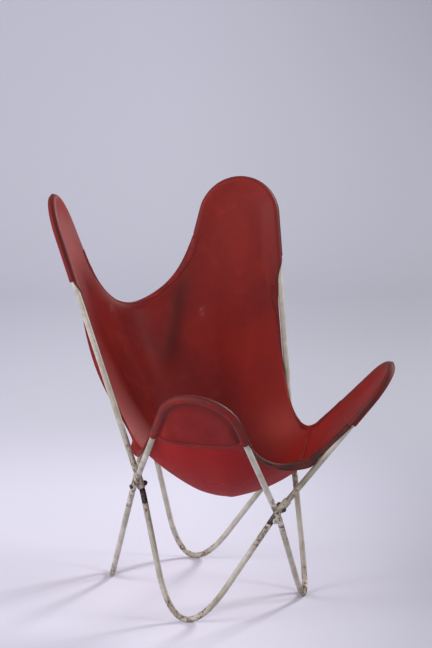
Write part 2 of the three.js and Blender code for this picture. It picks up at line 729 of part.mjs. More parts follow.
// A pocket is a shallow tray of leather under an ear: a flat back, and a wall
// round the rod that reaches up to the panel
function pocketOf({ ear: name, from: fromName, to: toName }) {
  const ear = ears[name];
  const [from, to] = [legOf(ear, fromName), legOf(ear, toName)];
  const across = ear.down.clone().cross(ear.normal);
  const flat = (point) => {
    const spot = point.clone().sub(ear.centre);
    return new THREE.Vector2(spot.dot(across), spot.dot(ear.down));
  };
  const outline = (out) => {
    const points = [flat(onLeg(ear, from, pocketLength(fromName), out, 0))];
    for (let step = 0; step <= earBendSteps; step += 1) {
      points.push(flat(onBend(ear, from, to, step / earBendSteps, out, 0)));
    }
    points.push(flat(onLeg(ear, to, pocketLength(toName), out, 0)));
    return points;
  };
  const bore = rodRadius + fitGap;
  const back = new THREE.Shape(outline(halfWrap));
  const wall = new THREE.Shape([...outline(halfWrap), ...outline(bore).reverse()]);
  const solids = [[back, leatherThickness, -halfWrap], [wall, halfWrap + wallHeight, -halfWrap]]
    .map(([shape, depth, start]) => toSolid(new THREE.ExtrudeGeometry(shape, { depth, bevelEnabled: false })
      .translate(0, 0, start)));
  const geometry = fromSolid(solids[0].add(solids[1]));
  const turn = new THREE.Matrix4().makeBasis(across, ear.down, ear.normal);
  return geometry.applyMatrix4(turn).translate(...ear.centre.toArray());
}

for (const stop of order) {
  addPiece(`${stop.ear}_pocket`, pocketOf(stop), leather());
}

// A turned hem lies on each notch edge, on the sitter's side of the panel
function hemOf(notch) {
  const last = slingRows.length - 1;
  const columns = Array.from({ length: notchSpokes + 1 }, (_, k) => notch.first + k);
  const used = [last - 1, last].flatMap((row) => columns.map((k) => slingIndex(row, k)));
  const faces = columns.slice(1).flatMap((k) => slingCell(last, k - 1)).map((k) => used.indexOf(k));
  const edge = [...columns.map((_, k) => columns.length + k), ...columns.map((_, k) => columns.length - 1 - k)];
  const lift = (leatherThickness + hemThickness) / 2 + fitGap;
  return sheetOf(used.map((k) => slingPoints[k]), used.map((k) => slingNormals[k]), faces, edge, hemThickness, lift);
}

for (const [name, notch] of Object.entries(notches)) {
  addPiece(`${name}_notch_hem`, hemOf(notch), leather());
}

// The origin is under the middle of the space that the chair takes up
const space = new THREE.Box3().setFromObject(chair);
const middle = space.getCenter(vec(0, 0, 0));
for (const piece of chair.children) {
  piece.geometry.translate(-middle.x, -middle.y, -space.min.z);
}

export default chair;
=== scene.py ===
"""A butterfly sling chair: a folded-looking frame of cream painted rod and an aged red leather sling.

Metres, +Z up. +X is the sitter's left and +Y the back of the chair.
"""

import math
from types import SimpleNamespace

import bmesh
import bpy
import numpy as np
from mathutils import Matrix


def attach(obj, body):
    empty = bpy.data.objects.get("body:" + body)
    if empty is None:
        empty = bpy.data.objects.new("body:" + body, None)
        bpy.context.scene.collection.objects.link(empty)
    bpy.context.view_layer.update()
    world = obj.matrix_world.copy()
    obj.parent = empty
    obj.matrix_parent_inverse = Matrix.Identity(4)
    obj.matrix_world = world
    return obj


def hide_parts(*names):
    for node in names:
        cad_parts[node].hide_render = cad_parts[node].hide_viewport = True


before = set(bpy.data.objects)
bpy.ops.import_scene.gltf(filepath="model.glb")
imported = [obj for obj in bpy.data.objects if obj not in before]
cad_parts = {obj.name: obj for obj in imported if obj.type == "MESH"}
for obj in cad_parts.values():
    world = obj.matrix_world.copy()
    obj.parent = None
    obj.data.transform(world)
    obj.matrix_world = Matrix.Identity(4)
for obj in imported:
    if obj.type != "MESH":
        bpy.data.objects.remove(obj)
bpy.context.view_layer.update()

MM = 0.001
LEFT, RIGHT = 1, -1

# ---------------------------------------------------------------- sizes
# The origin is under the middle of the chair, this far from the frame's own middle
SHIFT = np.array([-0.66028, 35.67928, 0.0]) * MM

ROD = 6.35 * MM
FIT_GAP = 0.3 * MM
WELD_GAP = 0.6 * MM
SLEEVE = 8.75 * MM
SLEEVE_LENGTH = 30 * MM
SPIGOT = 20 * MM
WELDED_SLEEVE_HEIGHT = 12 * MM
BOLT = 3 * MM
BOLT_HEAD = 5.2 * MM
BOLT_HEAD_HEIGHT = 3.6 * MM
BOLT_TAIL = 2.2 * MM
BOLT_HEIGHT = 9 * MM
BEND_CLEARANCE = 8 * MM
NUT_FLAT = 5 * MM
NUT_THICKNESS = 5 * MM
BUTT_JOINT = 36 * MM
CROSSING_BEND = 90 * MM
FOOT_BEND = 200 * MM
WORN_FLAT = 0.8 * MM

LEATHER = 2.0 * MM
CLOTH_GAP = 0.4 * MM
BEND = ROD + CLOTH_GAP + LEATHER / 2
TOUCH = 0.33
SIDE_POCKET = 100 * MM
END_POCKET = 60 * MM
TUCK = {LEFT: 60 * MM, RIGHT: 45 * MM}
TUCK_DEPTH = {LEFT: 4 * MM, RIGHT: 9 * MM}
BAND = 35 * MM
HEM_WIDTH = 17 * MM


def unit(v):
    return v / np.maximum(np.linalg.norm(v, axis=-1, keepdims=True), 1e-30)


def dot(a, b):
    return (a * b).sum(-1, keepdims=True)


def ease(x, start, end):
    """0 before start, 1 after end, and 3t^2 - 2t^3 between."""
    t = np.clip((x - start) / (end - start), 0, 1)
    return t * t * (3 - 2 * t)


def place(side, rear, height, mirror=LEFT):
    return np.array([mirror * side, rear, height]) * MM + SHIFT


# ---------------------------------------------------------------- the frame's lines
back_ear = {"top": (252, 222, 878), "radius": 86 * MM}
front_ear = {"top": (248, -326, 535), "radius": 80 * MM}
side_crossing, front_crossing, back_crossing = (205, -30, 285), (0, -256, 234), (0, 238, 319)

bolted = {"spacing": SLEEVE + ROD + FIT_GAP, "sleeve_height": -BOLT_HEIGHT,
          "drop": BOLT_HEIGHT + BEND_CLEARANCE, "welded": False}
welded = {"spacing": 2 * ROD + WELD_GAP, "sleeve_height": WELDED_SLEEVE_HEIGHT, "drop": 0, "welded": True}
crossings = {
    "side_right": SimpleNamespace(at=place(*side_crossing, RIGHT), out=np.array([-1.0, 0, 0]), **bolted),
    "side_left": SimpleNamespace(at=place(*side_crossing), out=np.array([1.0, 0, 0]), **bolted),
    "front": SimpleNamespace(at=place(*front_crossing), out=np.array([0, -1.0, 0]), **welded),
    "back": SimpleNamespace(at=place(*back_crossing), out=np.array([0, 1.0, 0]), **welded),
}
ears = {
    "back_right": SimpleNamespace(size=back_ear, side=RIGHT, legs=("side_right", "back"), inner=True),
    "back_left": SimpleNamespace(size=back_ear, side=LEFT, legs=("side_left", "back"), inner=False),
    "front_right": SimpleNamespace(size=front_ear, side=RIGHT, legs=("side_right", "front"), inner=False),
    "front_left": SimpleNamespace(size=front_ear, side=LEFT, legs=("side_left", "front"), inner=True),
}
feet = {
    "back_right": SimpleNamespace(spot=(-112, 256), legs=("side_right", "back"), inner=False),
    "back_left": SimpleNamespace(spot=(112, 256), legs=("side_left", "back"), inner=True),
    "front_right": SimpleNamespace(spot=(-180, -140), legs=("side_right", "front"), inner=True),
    "front_left": SimpleNamespace(spot=(180, -140), legs=("side_left", "front"), inner=False),
}

# The two rods of a crossing stand apart along the line square to both
for name, crossing in crossings.items():
    reach = [place(*ear.size["top"], ear.side) - crossing.at for ear in ears.values() if name in ear.legs]
    across = unit(np.cross(*reach))
    crossing.across = across * np.sign(across @ crossing.out)
    crossing.rods = {inner: crossing.at + crossing.across * crossing.spacing / 2 * (-1 if inner else 1)
                     for inner in (True, False)}

# An ear is an arc in the plane of its top and its two crossings, and a straight
# leg runs from each end of the arc to a crossing
for ear in ears.values():
    top = place(*ear.size["top"], ear.side)
    ends = [crossings[name].rods[ear.inner] for name in ear.legs]
    ear.radius = ear.size["radius"]
    ear.down = unit((ends[0] + ends[1]) / 2 - top)
    square = unit(np.cross(ends[0] - top, ends[1] - top))
    ear.normal = square * np.sign(square @ np.array([-top[0], -top[1], 0]))
    ear.across = np.cross(ear.down, ear.normal)
    ear.centre = top + ear.down * ear.radius
    ear.leg = {}
    for k, end in enumerate(ends):
        reach = end - ear.centre
        length = np.linalg.norm(reach)
        along = reach / length
        outward = end - ends[1 - k]
        outward = outward - along * (outward @ along)
        outward = unit(outward - ear.normal * (outward @ ear.normal))
        share = ear.radius / length
        out = along * share + outward * math.sqrt(1 - share * share)
        tangent = ear.centre + out * ear.radius
        run = end - tangent
        ear.leg[ear.legs[k]] = SimpleNamespace(
            end=end, out=out, tangent=tangent, direction=unit(run), length=np.linalg.norm(run))


def ear_with(name, inner):
    return next(ear for ear in ears.values() if name in ear.legs and ear.inner == inner)


def joint_height(name, inner):
    return crossings[name].sleeve_height + SPIGOT if inner else BUTT_JOINT


# ---------------------------------------------------------------- lines and surfaces
def line(start, end, step=12 * MM):
    count = max(int(np.linalg.norm(end - start) / step), 1)
    return start + (end - start) * np.linspace(0, 1, count + 1)[:, None]


def arc(centre, start, end, step=0.06):
    """Points on the circle from start to end: the first arm and the one square to it, by cosine and sine."""
    first = start - centre
    radius = np.linalg.norm(first)
    axis = unit(np.cross(first, end - centre))
    angle = math.acos(np.clip(unit(first) @ unit(end - centre), -1, 1))
    turn = np.linspace(0, angle, max(int(angle / step), 2) + 1)[:, None]
    return centre + np.cos(turn) * first + np.sin(turn) * np.cross(axis, first)


def bent(start, corner, end, steps=48):
    """A quadratic curve from start to end that leans on the corner."""
    t = np.linspace(0, 1, steps + 1)[:, None]
    return (1 - t) ** 2 * start + 2 * t * (1 - t) * corner + t * t * end


def joined(*pieces):
    path = np.concatenate(pieces)
    step = np.linalg.norm(np.diff(path, axis=0), axis=1)
    return path[np.concatenate([[True], step > 1e-7])]


def measure(path):
    """Length along a path up to each of its points."""
    step = np.linalg.norm(np.diff(path, axis=0), axis=-1)
    return np.concatenate([np.zeros((1,) + step.shape[1:]), np.cumsum(step, axis=0)])


def smooth_line(points, at):
    """A smooth line through points: cubics whose slopes at each point come from its two neighbours,
    with knots spaced by the square roots of the chords."""
    chord = np.linalg.norm(np.diff(points, axis=0), axis=1) ** 0.5
    slope = np.gradient(points, np.concatenate([[0], np.cumsum(chord)]), axis=0)
    k = np.minimum(at.astype(int), len(points) - 2)
    t, h = (at - k)[:, None], chord[k][:, None]
    return ((2 * t ** 3 - 3 * t ** 2 + 1) * points[k] + (t ** 3 - 2 * t ** 2 + t) * h * slope[k]
            + (3 * t ** 2 - 2 * t ** 3) * points[k + 1] + (t ** 3 - t ** 2) * h * slope[k + 1])


def grid_mesh(name, grids):
    """One mesh from several grids. Each grid has points (rows, columns, 3), and may be closed round
    its columns or rows, have one or both ends capped, and carry values per point. A cell's corners go
    row, next row, next column, so that it faces along rows x columns."""
    points, faces, corners, values = [], [], [], {}
    count = 0
    for one in grids:
        p = one["points"]
        rows, cols = p.shape[:2]
        round_cols, round_rows = one.get("round", False), one.get("ring", False)
        r, c = (index.ravel() for index in np.meshgrid(
            np.arange(rows - (not round_rows)), np.arange(cols - (not round_cols)), indexing="ij"))
        cell = [(r, c), (r + 1, c), (r + 1, c + 1), (r, c + 1)]
        faces.append(np.stack([a % rows * cols + b % cols for a, b in cell], 1) + count)
        u = one["u"] if "u" in one else np.arange(rows + 1) * MM
        v = one["v"] if "v" in one else np.arange(cols + 1) * MM
        corners.append(np.stack([np.stack([u[np.minimum(a, len(u) - 1)], v[np.minimum(b, len(v) - 1)]], 1)
                                 for a, b in cell], 1))
        flat = [p.reshape(-1, 3)]
        if one.get("caps"):
            around = np.arange(cols)
            for row, turn in ((0, 1), (rows - 1, -1))[:one["caps"]]:
                ring = np.stack([around, np.roll(around, -1)][::turn], 1) + row * cols + count
                hub = count + rows * cols + len(flat) - 1
                fan = np.concatenate([ring, np.full((cols, 1), hub), np.full((cols, 1), hub)], 1)
                faces.append(fan)
                corners.append(np.full((cols, 4, 2), u[min(row, len(u) - 1)]))
                flat.append(p[row].mean(0, keepdims=True))
        for key in one.get("values", {}):
            given = np.broadcast_to(one["values"][key], (rows, cols)).ravel()
            values.setdefault(key, []).append(np.concatenate([given, given[[0, -1]][:len(flat) - 1]]))
        points += flat
        count += sum(len(part) for part in flat)
    points, faces, corners = np.concatenate(points), np.concatenate(faces), np.concatenate(corners)
    three = faces[:, 2] == faces[:, 3]
    order = np.concatenate([np.flatnonzero(~three), np.flatnonzero(three)])
    sizes = np.where(three[order], 3, 4)
    keep = np.ones((len(faces), 4), bool)
    keep[three, 3] = False
    mesh = bpy.data.meshes.new(name)
    mesh.vertices.add(len(points))
    mesh.vertices.foreach_set("co", points.astype(np.float32).ravel())
    mesh.loops.add(int(sizes.sum()))
    mesh.loops.foreach_set("vertex_index", faces[order][keep[order]].astype(np.int32))
    mesh.polygons.add(len(faces))
    mesh.polygons.foreach_set("loop_start", np.concatenate([[0], np.cumsum(sizes)[:-1]]).astype(np.int32))
    mesh.polygons.foreach_set("use_smooth", np.ones(len(faces), bool))
    mesh.update(calc_edges=True)
    layer = mesh.uv_layers.new(name="lay")
    layer.uv.foreach_set("vector", corners[order][keep[order]].astype(np.float32).ravel())
    for key, parts in values.items():
        mesh.attributes.new(key, "FLOAT", "POINT").data.foreach_set(
            "value", np.concatenate(parts).astype(np.float32))
    mesh.validate()
    return mesh


def in_scene(name, data):
    made = bpy.data.objects.new(name, data)
    bpy.context.scene.collection.objects.link(made)
    return made


def add_piece(name, mesh, materials, nodes=()):
    piece = in_scene(name, mesh)
    for material in materials:
        mesh.materials.append(material)
    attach(piece, "root")
    if nodes:
        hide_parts(*nodes)
    return piece


def add_grid(name, grid, material, node=None):
    return add_piece(name, grid_mesh(name, [grid]), [material], [node] if node else ())


def thicken(piece, thickness, backing=0):
    """Gives a sheet its thickness, half on each side, and its back the next material."""
    wall = piece.modifiers.new("leather", "SOLIDIFY")
    wall.thickness, wall.offset = thickness, 0
    wall.material_offset = backing
    return piece


def rod_grid(path, square, radius=ROD, sides=28, **more):
    """A round section carried along a path. At each point the section's two arms are square to the path:
    one is the path's direction x a fixed square direction, and the other is square to both."""
    direction = unit(np.gradient(path, axis=0))
    side = unit(np.cross(direction, square))
    up = np.cross(side, direction)
    angle = np.linspace(0, 2 * np.pi, sides, endpoint=False)[None, :, None]
    ring = radius[:, None, None] if isinstance(radius, np.ndarray) else radius
    points = path[:, None] + ring * (np.cos(angle) * side[:, None] + np.sin(angle) * up[:, None])
    return {"points": points, "round": True, "caps": 2, "u": measure(path),
            "v": np.linspace(0, 2 * np.pi * ROD, sides + 1), **more}


def turned_grid(profile, base, axis, sides=40, shape=None, ring=True):
    """A profile of (radius, height) turned about an axis. Shape, if given, scales the radius round the turn."""
    seed = np.array([1.0, 0, 0]) if abs(axis[0]) < 0.8 else np.array([0, 1.0, 0])
    first = unit(np.cross(axis, seed))
    second = np.cross(first, axis)
    angle = np.linspace(0, 2 * np.pi, sides, endpoint=False)
    radius = profile[:, 0, None] * np.ones(sides) if shape is None else shape(profile, angle)
    spread = np.cos(angle)[:, None] * first + np.sin(angle)[:, None] * second
    points = base + radius[..., None] * spread[None] + profile[:, 1, None, None] * axis
    length = measure(profile)
    return {"points": points, "round": True, "ring": ring, "caps": 0 if ring else 2,
            "u": np.concatenate([length, [length[-1] + MM]]),
            "v": np.linspace(0, 2 * np.pi * SLEEVE, sides + 1)}


# ---------------------------------------------------------------- finishes
def shade(red, green, blue):
    """A colour as it looks on a screen, turned to the linear values that a shader takes."""
    given = np.array([red, green, blue]) / 255
    return (*np.where(given <= 0.04045, given / 12.92, ((given + 0.055) / 1.055) ** 2.4), 1.0)


class Value:
    """A socket in a finish. Sums on it add the finish's Math nodes."""

    def __init__(self, finish, socket):
        self.finish, self.socket = finish, socket

    def math(self, operation, *others, clamp=False):
        terms = dict(enumerate((self, *others)))
        return self.finish.node("ShaderNodeMath", {"operation": operation, "use_clamp": clamp}, terms)

    def __add__(self, other):
        return self.math("ADD", other)

    def __sub__(self, other):
        return self.math("SUBTRACT", other)

    def __rsub__(self, other):
        return self.finish.node("ShaderNodeMath", {"operation": "SUBTRACT"}, {0: other, 1: self})

    def __mul__(self, other):
        return self.math("MULTIPLY", other)

    def __truediv__(self, other):
        return self.math("DIVIDE", other)

    __radd__, __rmul__ = __add__, __mul__

    def rise(self, start, end):
        """0 before start and 1 after end, smooth between."""
        return self.finish.node("ShaderNodeMapRange", {"interpolation_type": "SMOOTHSTEP"},
                                {"Value": self, "From Min": start, "From Max": end})


class Finish:
    """A material and the few ways that its nodes are made."""

    def __init__(self, name):
        self.material = bpy.data.materials.new(name)
        self.material.use_nodes = True
        self.tree = self.material.node_tree
        self.tree.nodes.clear()
        self.spot = self.node("ShaderNodeTexCoord", output="Object")

    def node(self, kind, settings=None, sockets=None, output=0):
        made = self.tree.nodes.new(kind)
        for key, value in (settings or {}).items():
            setattr(made, key, value)
        for key, value in (sockets or {}).items():
            if isinstance(value, Value):
                self.tree.links.new(value.socket, made.inputs[key])
            else:
                made.inputs[key].default_value = value
        return Value(self, made.outputs[output]) if made.outputs else made

    def noise(self, scale, detail=3, rough=0.5, warp=0.0, stretch=None):
        where = self.spot
        if stretch:
            where = self.node("ShaderNodeMapping", None, {"Vector": where, "Scale": stretch})
        return self.node("ShaderNodeTexNoise", None, {
            "Vector": where, "Scale": scale, "Detail": detail, "Roughness": rough, "Distortion": warp})

    def cells(self, scale, feature="F1", randomness=1.0):
        return self.node("ShaderNodeTexVoronoi", {"feature": feature}, {
            "Vector": self.spot, "Scale": scale, "Randomness": randomness})

    def carried(self, name):
        return self.node("ShaderNodeAttribute", {"attribute_name": name}, output="Fac")

    def lay(self):
        where = self.node("ShaderNodeUVMap", {"uv_map": "lay"})
        return [self.node("ShaderNodeSeparateXYZ", None, {0: where}, key) for key in "XY"]

    def mix(self, share, first, second):
        return self.node("ShaderNodeMix", {"data_type": "RGBA"}, {0: share, 6: first, 7: second}, 2)

    def bump(self, height, strength, distance, under=None):
        sockets = {"Height": height, "Strength": strength, "Distance": distance}
        if under:
            sockets["Normal"] = under
        return self.node("ShaderNodeBump", None, sockets)

    def done(self, sockets):
        surface = self.node("ShaderNodeBsdfPrincipled", None, sockets)
        self.node("ShaderNodeOutputMaterial", None, {"Surface": surface})
        return self.material


def cream_enamel():
    """Old cream paint: yellowed in clouds, dirty and rust stained by the joints and low down, chipped to
    brown steel, and worn off where a spigot has slid in its sleeve."""
    f = Finish("cream_enamel")
    wear, bare = f.carried("wear"), f.carried("bare")
    cloud, grit, streak = f.noise(11, 4, 0.6), f.noise(150, 5, 0.62), f.noise(34, 5, 0.65, 0.8)
    cream = f.mix(cloud.rise(0.36, 0.66), shade(188, 182, 172), shade(158, 150, 134))
    dirt = (streak.rise(0.38, 0.66) * (wear * 0.75 + 0.42)).math("MINIMUM", 1.0)
    cream = f.mix(dirt * 0.8, cream, shade(112, 98, 80))
    rust = f.mix(grit.rise(0.35, 0.65), shade(62, 46, 36), shade(104, 72, 50))
    chipped = (grit * 0.75 + streak * 0.3 + wear * 0.12).rise(0.66, 0.69)
    colour = f.mix(chipped, cream, rust)
    steel = f.mix(grit.rise(0.4, 0.6), shade(70, 63, 58), shade(46, 40, 37))
    shows = (bare + (grit - 0.5) * 0.5).rise(0.45, 0.55)
    colour = f.mix(shows, colour, steel)
    relief = grit * 0.25 - chipped * 0.6
    return f.done({
        "Base Color": colour, "Metallic": shows * 0.75,
        "Roughness": cloud * 0.14 + chipped * 0.3 + dirt * 0.2 + 0.3,
        "Normal": f.bump(relief, 0.45, 0.3 * MM)})


def dark_bolt():
    f = Finish("dark_bolt_steel")
    grit, cloud = f.noise(420, 4, 0.6), f.noise(120, 3)
    colour = f.mix(cloud.rise(0.35, 0.65), shade(78, 72, 68), shade(52, 45, 41))
    rust = grit.rise(0.56, 0.68)
    return f.done({
        "Base Color": f.mix(rust * 0.7, colour, shade(98, 60, 38)), "Metallic": 0.85 - rust * 0.6,
        "Roughness": grit * 0.25 + 0.34, "Normal": f.bump(grit, 0.35, 0.15 * MM)})


def red_leather(name, deep, mid, bright, dull=0.0, soiled=0.0):
    """Aged oxblood leather: broad clouds of two reds, patches rubbed brighter, small scuffs and dark specks,
    darker along its edges and dirtier on its crowns, with grain, pores and fine drying creases. It also
    takes painted shade in folds and creases, a painted sheen, a brighter red painted where light falls, and
    pale spots."""
    f = Finish(name)
    edge, crown, fold_and_shade, rub, painted_light, dust = (
        f.carried(name) for name in ("edge", "crown", "fold_and_shade", "rub", "painted_light", "dust"))
    broad, patch = f.noise(3.4, 4, 0.55, 0.5), f.noise(19, 5, 0.6, 0.4)
    fleck, crease = f.noise(75, 6, 0.7, 1.4), f.noise(42, 6, 0.62, 1.8, (1, 1, 0.45))
    red = f.mix(broad.rise(0.36, 0.64), deep, mid)
    red = f.mix(patch.rise(0.5, 0.8) * 0.4, red, bright)
    red = f.mix(crease.rise(0.5, 0.72) * 0.2, red, deep)
    scuff = fleck.rise(0.62, 0.74) * patch.rise(0.46, 0.62)
    red = f.mix(scuff * (crown * 0.5 + 0.3), red, shade(158, 92, 78))
    # Painted light: a brighter red where light falls on the sitter's left
    red = f.mix(painted_light * (0.35 + patch * 0.4), red, shade(150, 26, 17))
    # Painted sheen: a pale pink in one broad spot by the left side notch
    red = f.mix(dust * (0.2 + broad * 0.3), red, shade(172, 84, 76))
    # Painted shade: darker in the fold beside a back leg and in the pockets' creases and recesses
    red = f.mix(fold_and_shade * 0.6, red, shade(58, 18, 17))
    # Paler in a few flecked spots
    red = f.mix(rub * fleck.rise(0.4, 0.56) * 0.6, red, shade(178, 122, 116))
    grime = (crown * 0.8 + edge * 0.2) * fleck.rise(0.38, 0.6) + f.carried("soil") * soiled * (patch + 0.4)
    red = f.mix(grime.math("MINIMUM", 0.92), red, shade(70, 42, 37))
    speck = f.cells(95).rise(0.16, 0.1) * (fleck.rise(0.5, 0.6) + crown)
    red = f.mix(speck * 0.55, red, shade(46, 22, 20))
    red = f.mix(edge.rise(0.86, 0.99) * 0.55, red, shade(48, 20, 18))
    grain = f.cells(640, "DISTANCE_TO_EDGE").rise(0.0, 0.22)
    relief = grain * 0.4 + f.noise(1300, 2) * 0.3
    soft = f.bump(crease * 0.8 + patch * 0.5, 0.5, 1.6 * MM)
    return f.done({
        "Base Color": red,
        "Roughness": patch * 0.14 + scuff * 0.15 + crease * 0.08 + 0.46 + dull,
        "Specular IOR Level": 0.2,
        "Normal": f.bump(relief, 0.35, 0.16 * MM, soft)})


def stitched_leather(name, deep, mid, rows, thread):
    """A hem or lapped seam: leather with rows of stitches along it, each a dash of thread that lies in a
    shallow groove. Rows gives how far each row is across the strip."""
    f = Finish(name)
    across, along = f.lay()
    patch, fleck = f.noise(24, 5, 0.6, 0.5), f.noise(80, 6, 0.7, 1.2)
    red = f.mix(patch.rise(0.38, 0.66), deep, mid)
    red = f.mix(fleck.rise(0.6, 0.75) * 0.35, red, shade(146, 84, 70))
    red = f.mix(fleck.rise(0.52, 0.42) * 0.25, red, shade(52, 22, 20))
    groove, dash = None, None
    beat = (along / STITCH).math("FRACT").math("SUBTRACT", 0.5).math("ABSOLUTE")
    for row in rows:
        off = (across - row).math("ABSOLUTE")
        dip = off.rise(1.6 * MM, 0.2 * MM)
        lie = off.rise(0.62 * MM, 0.3 * MM) * beat.rise(0.40, 0.33)
        groove = dip if groove is None else groove.math("MAXIMUM", dip)
        dash = lie if dash is None else dash.math("MAXIMUM", lie)
    red = f.mix(groove * 0.45, red, shade(50, 20, 19))
    red = f.mix(dash * 0.8, red, thread)
    grain = f.cells(640, "DISTANCE_TO_EDGE").rise(0.0, 0.22)
    relief = grain * 0.15 + patch * 0.5 - groove * 0.9 + dash * 0.9
    return f.done({
        "Base Color": red, "Roughness": patch * 0.15 + 0.5, "Specular IOR Level": 0.2,
        "Normal": f.bump(relief, 0.6, 0.7 * MM)})


STITCH = 5.2 * MM
enamel = cream_enamel()
bolt_steel = dark_bolt()
thread = shade(92, 40, 34)
seat_leather = red_leather("seat_leather", shade(110, 20, 16), shade(133, 26, 20), shade(148, 44, 31))
outer_leather = red_leather(
    "outer_leather", shade(140, 8, 7), shade(162, 16, 12), shade(170, 34, 26), 0.08, 0.9)
# The pockets' leather is a darker copy of the outer leather: painted shade
pocket_leather = red_leather(
    "pocket_leather", shade(112, 10, 8), shade(136, 17, 12), shade(146, 38, 28), 0.04)
hem_leather = stitched_leather(
    "hem_leather", shade(112, 22, 18), shade(136, 28, 22), (4 * MM, 13.5 * MM), thread)
worn_hem_leather = stitched_leather(
    "worn_hem_leather", shade(62, 30, 26), shade(98, 35, 29), (4 * MM, 13.5 * MM), shade(120, 66, 56))
piping_leather = red_leather(
    "piping_leather", shade(70, 24, 24), shade(92, 34, 32), shade(112, 50, 44), 0.05)

# ---------------------------------------------------------------- the rods
BARE_END = 44 * MM, 62 * MM


def near_joints(path, names, start, end):
    """1 at the chosen crossings and 0 beyond the end distance."""
    away = np.min([np.linalg.norm(path - crossings[name].at, axis=1) for name in names], axis=0)
    return 1 - ease(away, start, end)


def foot_wear(path):
    return 1 - ease(path[:, 2], 12 * MM, 75 * MM)


for name, ear in ears.items():
    start, finish = (
        leg.end - leg.direction * joint_height(crossing, ear.inner)
        for crossing, leg in ear.leg.items())
    one, two = ear.leg.values()
    path = joined(line(start, one.tangent), arc(ear.centre, one.tangent, two.tangent),
                  line(two.tangent, finish))
    wear = near_joints(path, ear.legs, 30 * MM, 130 * MM)
    grid = rod_grid(path, ear.normal, values={"wear": wear[:, None], "bare": 0})
    add_grid(f"{name}_ear_tube", grid, enamel, f"{name}_ear_rod")


def crossing_bend(before, corner, after):
    back, ahead = unit(before - corner), unit(after - corner)
    half = math.acos(np.clip(back @ ahead, -1, 1)) / 2
    cut = CROSSING_BEND / math.tan(half)
    centre = corner + unit(back + ahead) * CROSSING_BEND / math.sin(half)
    return arc(centre, corner + back * cut, corner + ahead * cut)


def foot_path(foot, height):
    tips, corners = [], []
    for name in foot.legs:
        leg = ear_with(name, foot.inner).leg[name]
        tips.append(leg.end - leg.direction * joint_height(name, foot.inner))
        corners.append(leg.end + leg.direction * crossings[name].drop)
    low = place(*foot.spot, 0) + np.array([0, 0, height])
    ends = [low + unit(end - low) * FOOT_BEND for end in corners]
    down, up = crossing_bend(tips[0], corners[0], ends[0]), crossing_bend(ends[1], corners[1], tips[1])
    foot.square = unit(np.cross(corners[0] - low, corners[1] - low))
    foot.low = low
    return joined(line(tips[0], down[0]), down, line(down[-1], ends[0]), bent(ends[0], low, ends[1]),
                  line(ends[1], up[0]), up, line(up[-1], tips[1]))


for name, foot in feet.items():
    height = 0.0
    for _ in range(8):
        height -= foot_path(foot, height)[:, 2].min() - (ROD - WORN_FLAT)
    path = foot_path(foot, height)
    wear = np.maximum(near_joints(path, foot.legs, 30 * MM, 120 * MM), foot_wear(path))
    tip = np.minimum(measure(path), measure(path)[-1] - measure(path))
    bare = (1 - ease(tip, *BARE_END)) if foot.inner else 0 * tip
    grid = rod_grid(path, foot.square, values={"wear": wear[:, None], "bare": bare[:, None]})
    grid["points"][..., 2] = np.maximum(grid["points"][..., 2], 0)
    add_grid(f"{name}_foot_tube", grid, enamel, f"{name}_foot_rod")

# ---------------------------------------------------------------- sleeves, bolts, nuts and welds
sleeve_profile = np.array([
    [ROD + FIT_GAP, 0.8 * MM], [ROD + 0.9 * MM, 0], [SLEEVE - 1.0 * MM, 0], [SLEEVE - 0.3 * MM, 0.3 * MM],
    [SLEEVE, 1.1 * MM], [SLEEVE, SLEEVE_LENGTH / 2], [SLEEVE, SLEEVE_LENGTH - 1.1 * MM],
    [SLEEVE - 0.3 * MM, SLEEVE_LENGTH - 0.3 * MM], [SLEEVE - 1.0 * MM, SLEEVE_LENGTH],
    [ROD + 0.9 * MM, SLEEVE_LENGTH], [ROD + FIT_GAP, SLEEVE_LENGTH - 0.8 * MM]])


def bolt_profile(seat):
    """From the tip up the shank to the washer face, then over a dome: a quarter circle, flattened."""
    tip = -SLEEVE - 2 * FIT_GAP - NUT_THICKNESS - BOLT_TAIL
    dome = np.linspace(0, np.pi / 2, 9)[:-1]
    height = seat + 0.9 * MM + (BOLT_HEAD_HEIGHT - 0.9 * MM) * np.sin(dome)
    shank = [[BOLT - 0.6 * MM, tip], [BOLT, tip + 0.6 * MM], [BOLT, seat], [BOLT_HEAD, seat]]
    return np.concatenate([shank, np.stack([BOLT_HEAD * np.cos(dome), height], 1)])


def nut_radius(profile, angle):
    """Six flats, cut by a cone at both ends: the smaller of a flat's distance over the cosine of the angle
    off its middle, and the profile's own radius."""
    off = np.mod(angle + np.pi / 6, np.pi / 3) - np.pi / 6
    return np.minimum(NUT_FLAT / np.cos(off), profile[:, 0, None])


nut_corner = NUT_FLAT / math.cos(math.pi / 6)
nut_profile = np.array([
    [BOLT + FIT_GAP, 0.3 * MM], [BOLT + 0.8 * MM, 0], [NUT_FLAT - 0.2 * MM, 0], [nut_corner, 0.7 * MM],
    [nut_corner, NUT_THICKNESS / 2], [nut_corner, NUT_THICKNESS - 0.7 * MM],
    [NUT_FLAT - 0.2 * MM, NUT_THICKNESS], [BOLT + 0.8 * MM, NUT_THICKNESS],
    [BOLT + FIT_GAP, NUT_THICKNESS - 0.3 * MM]])

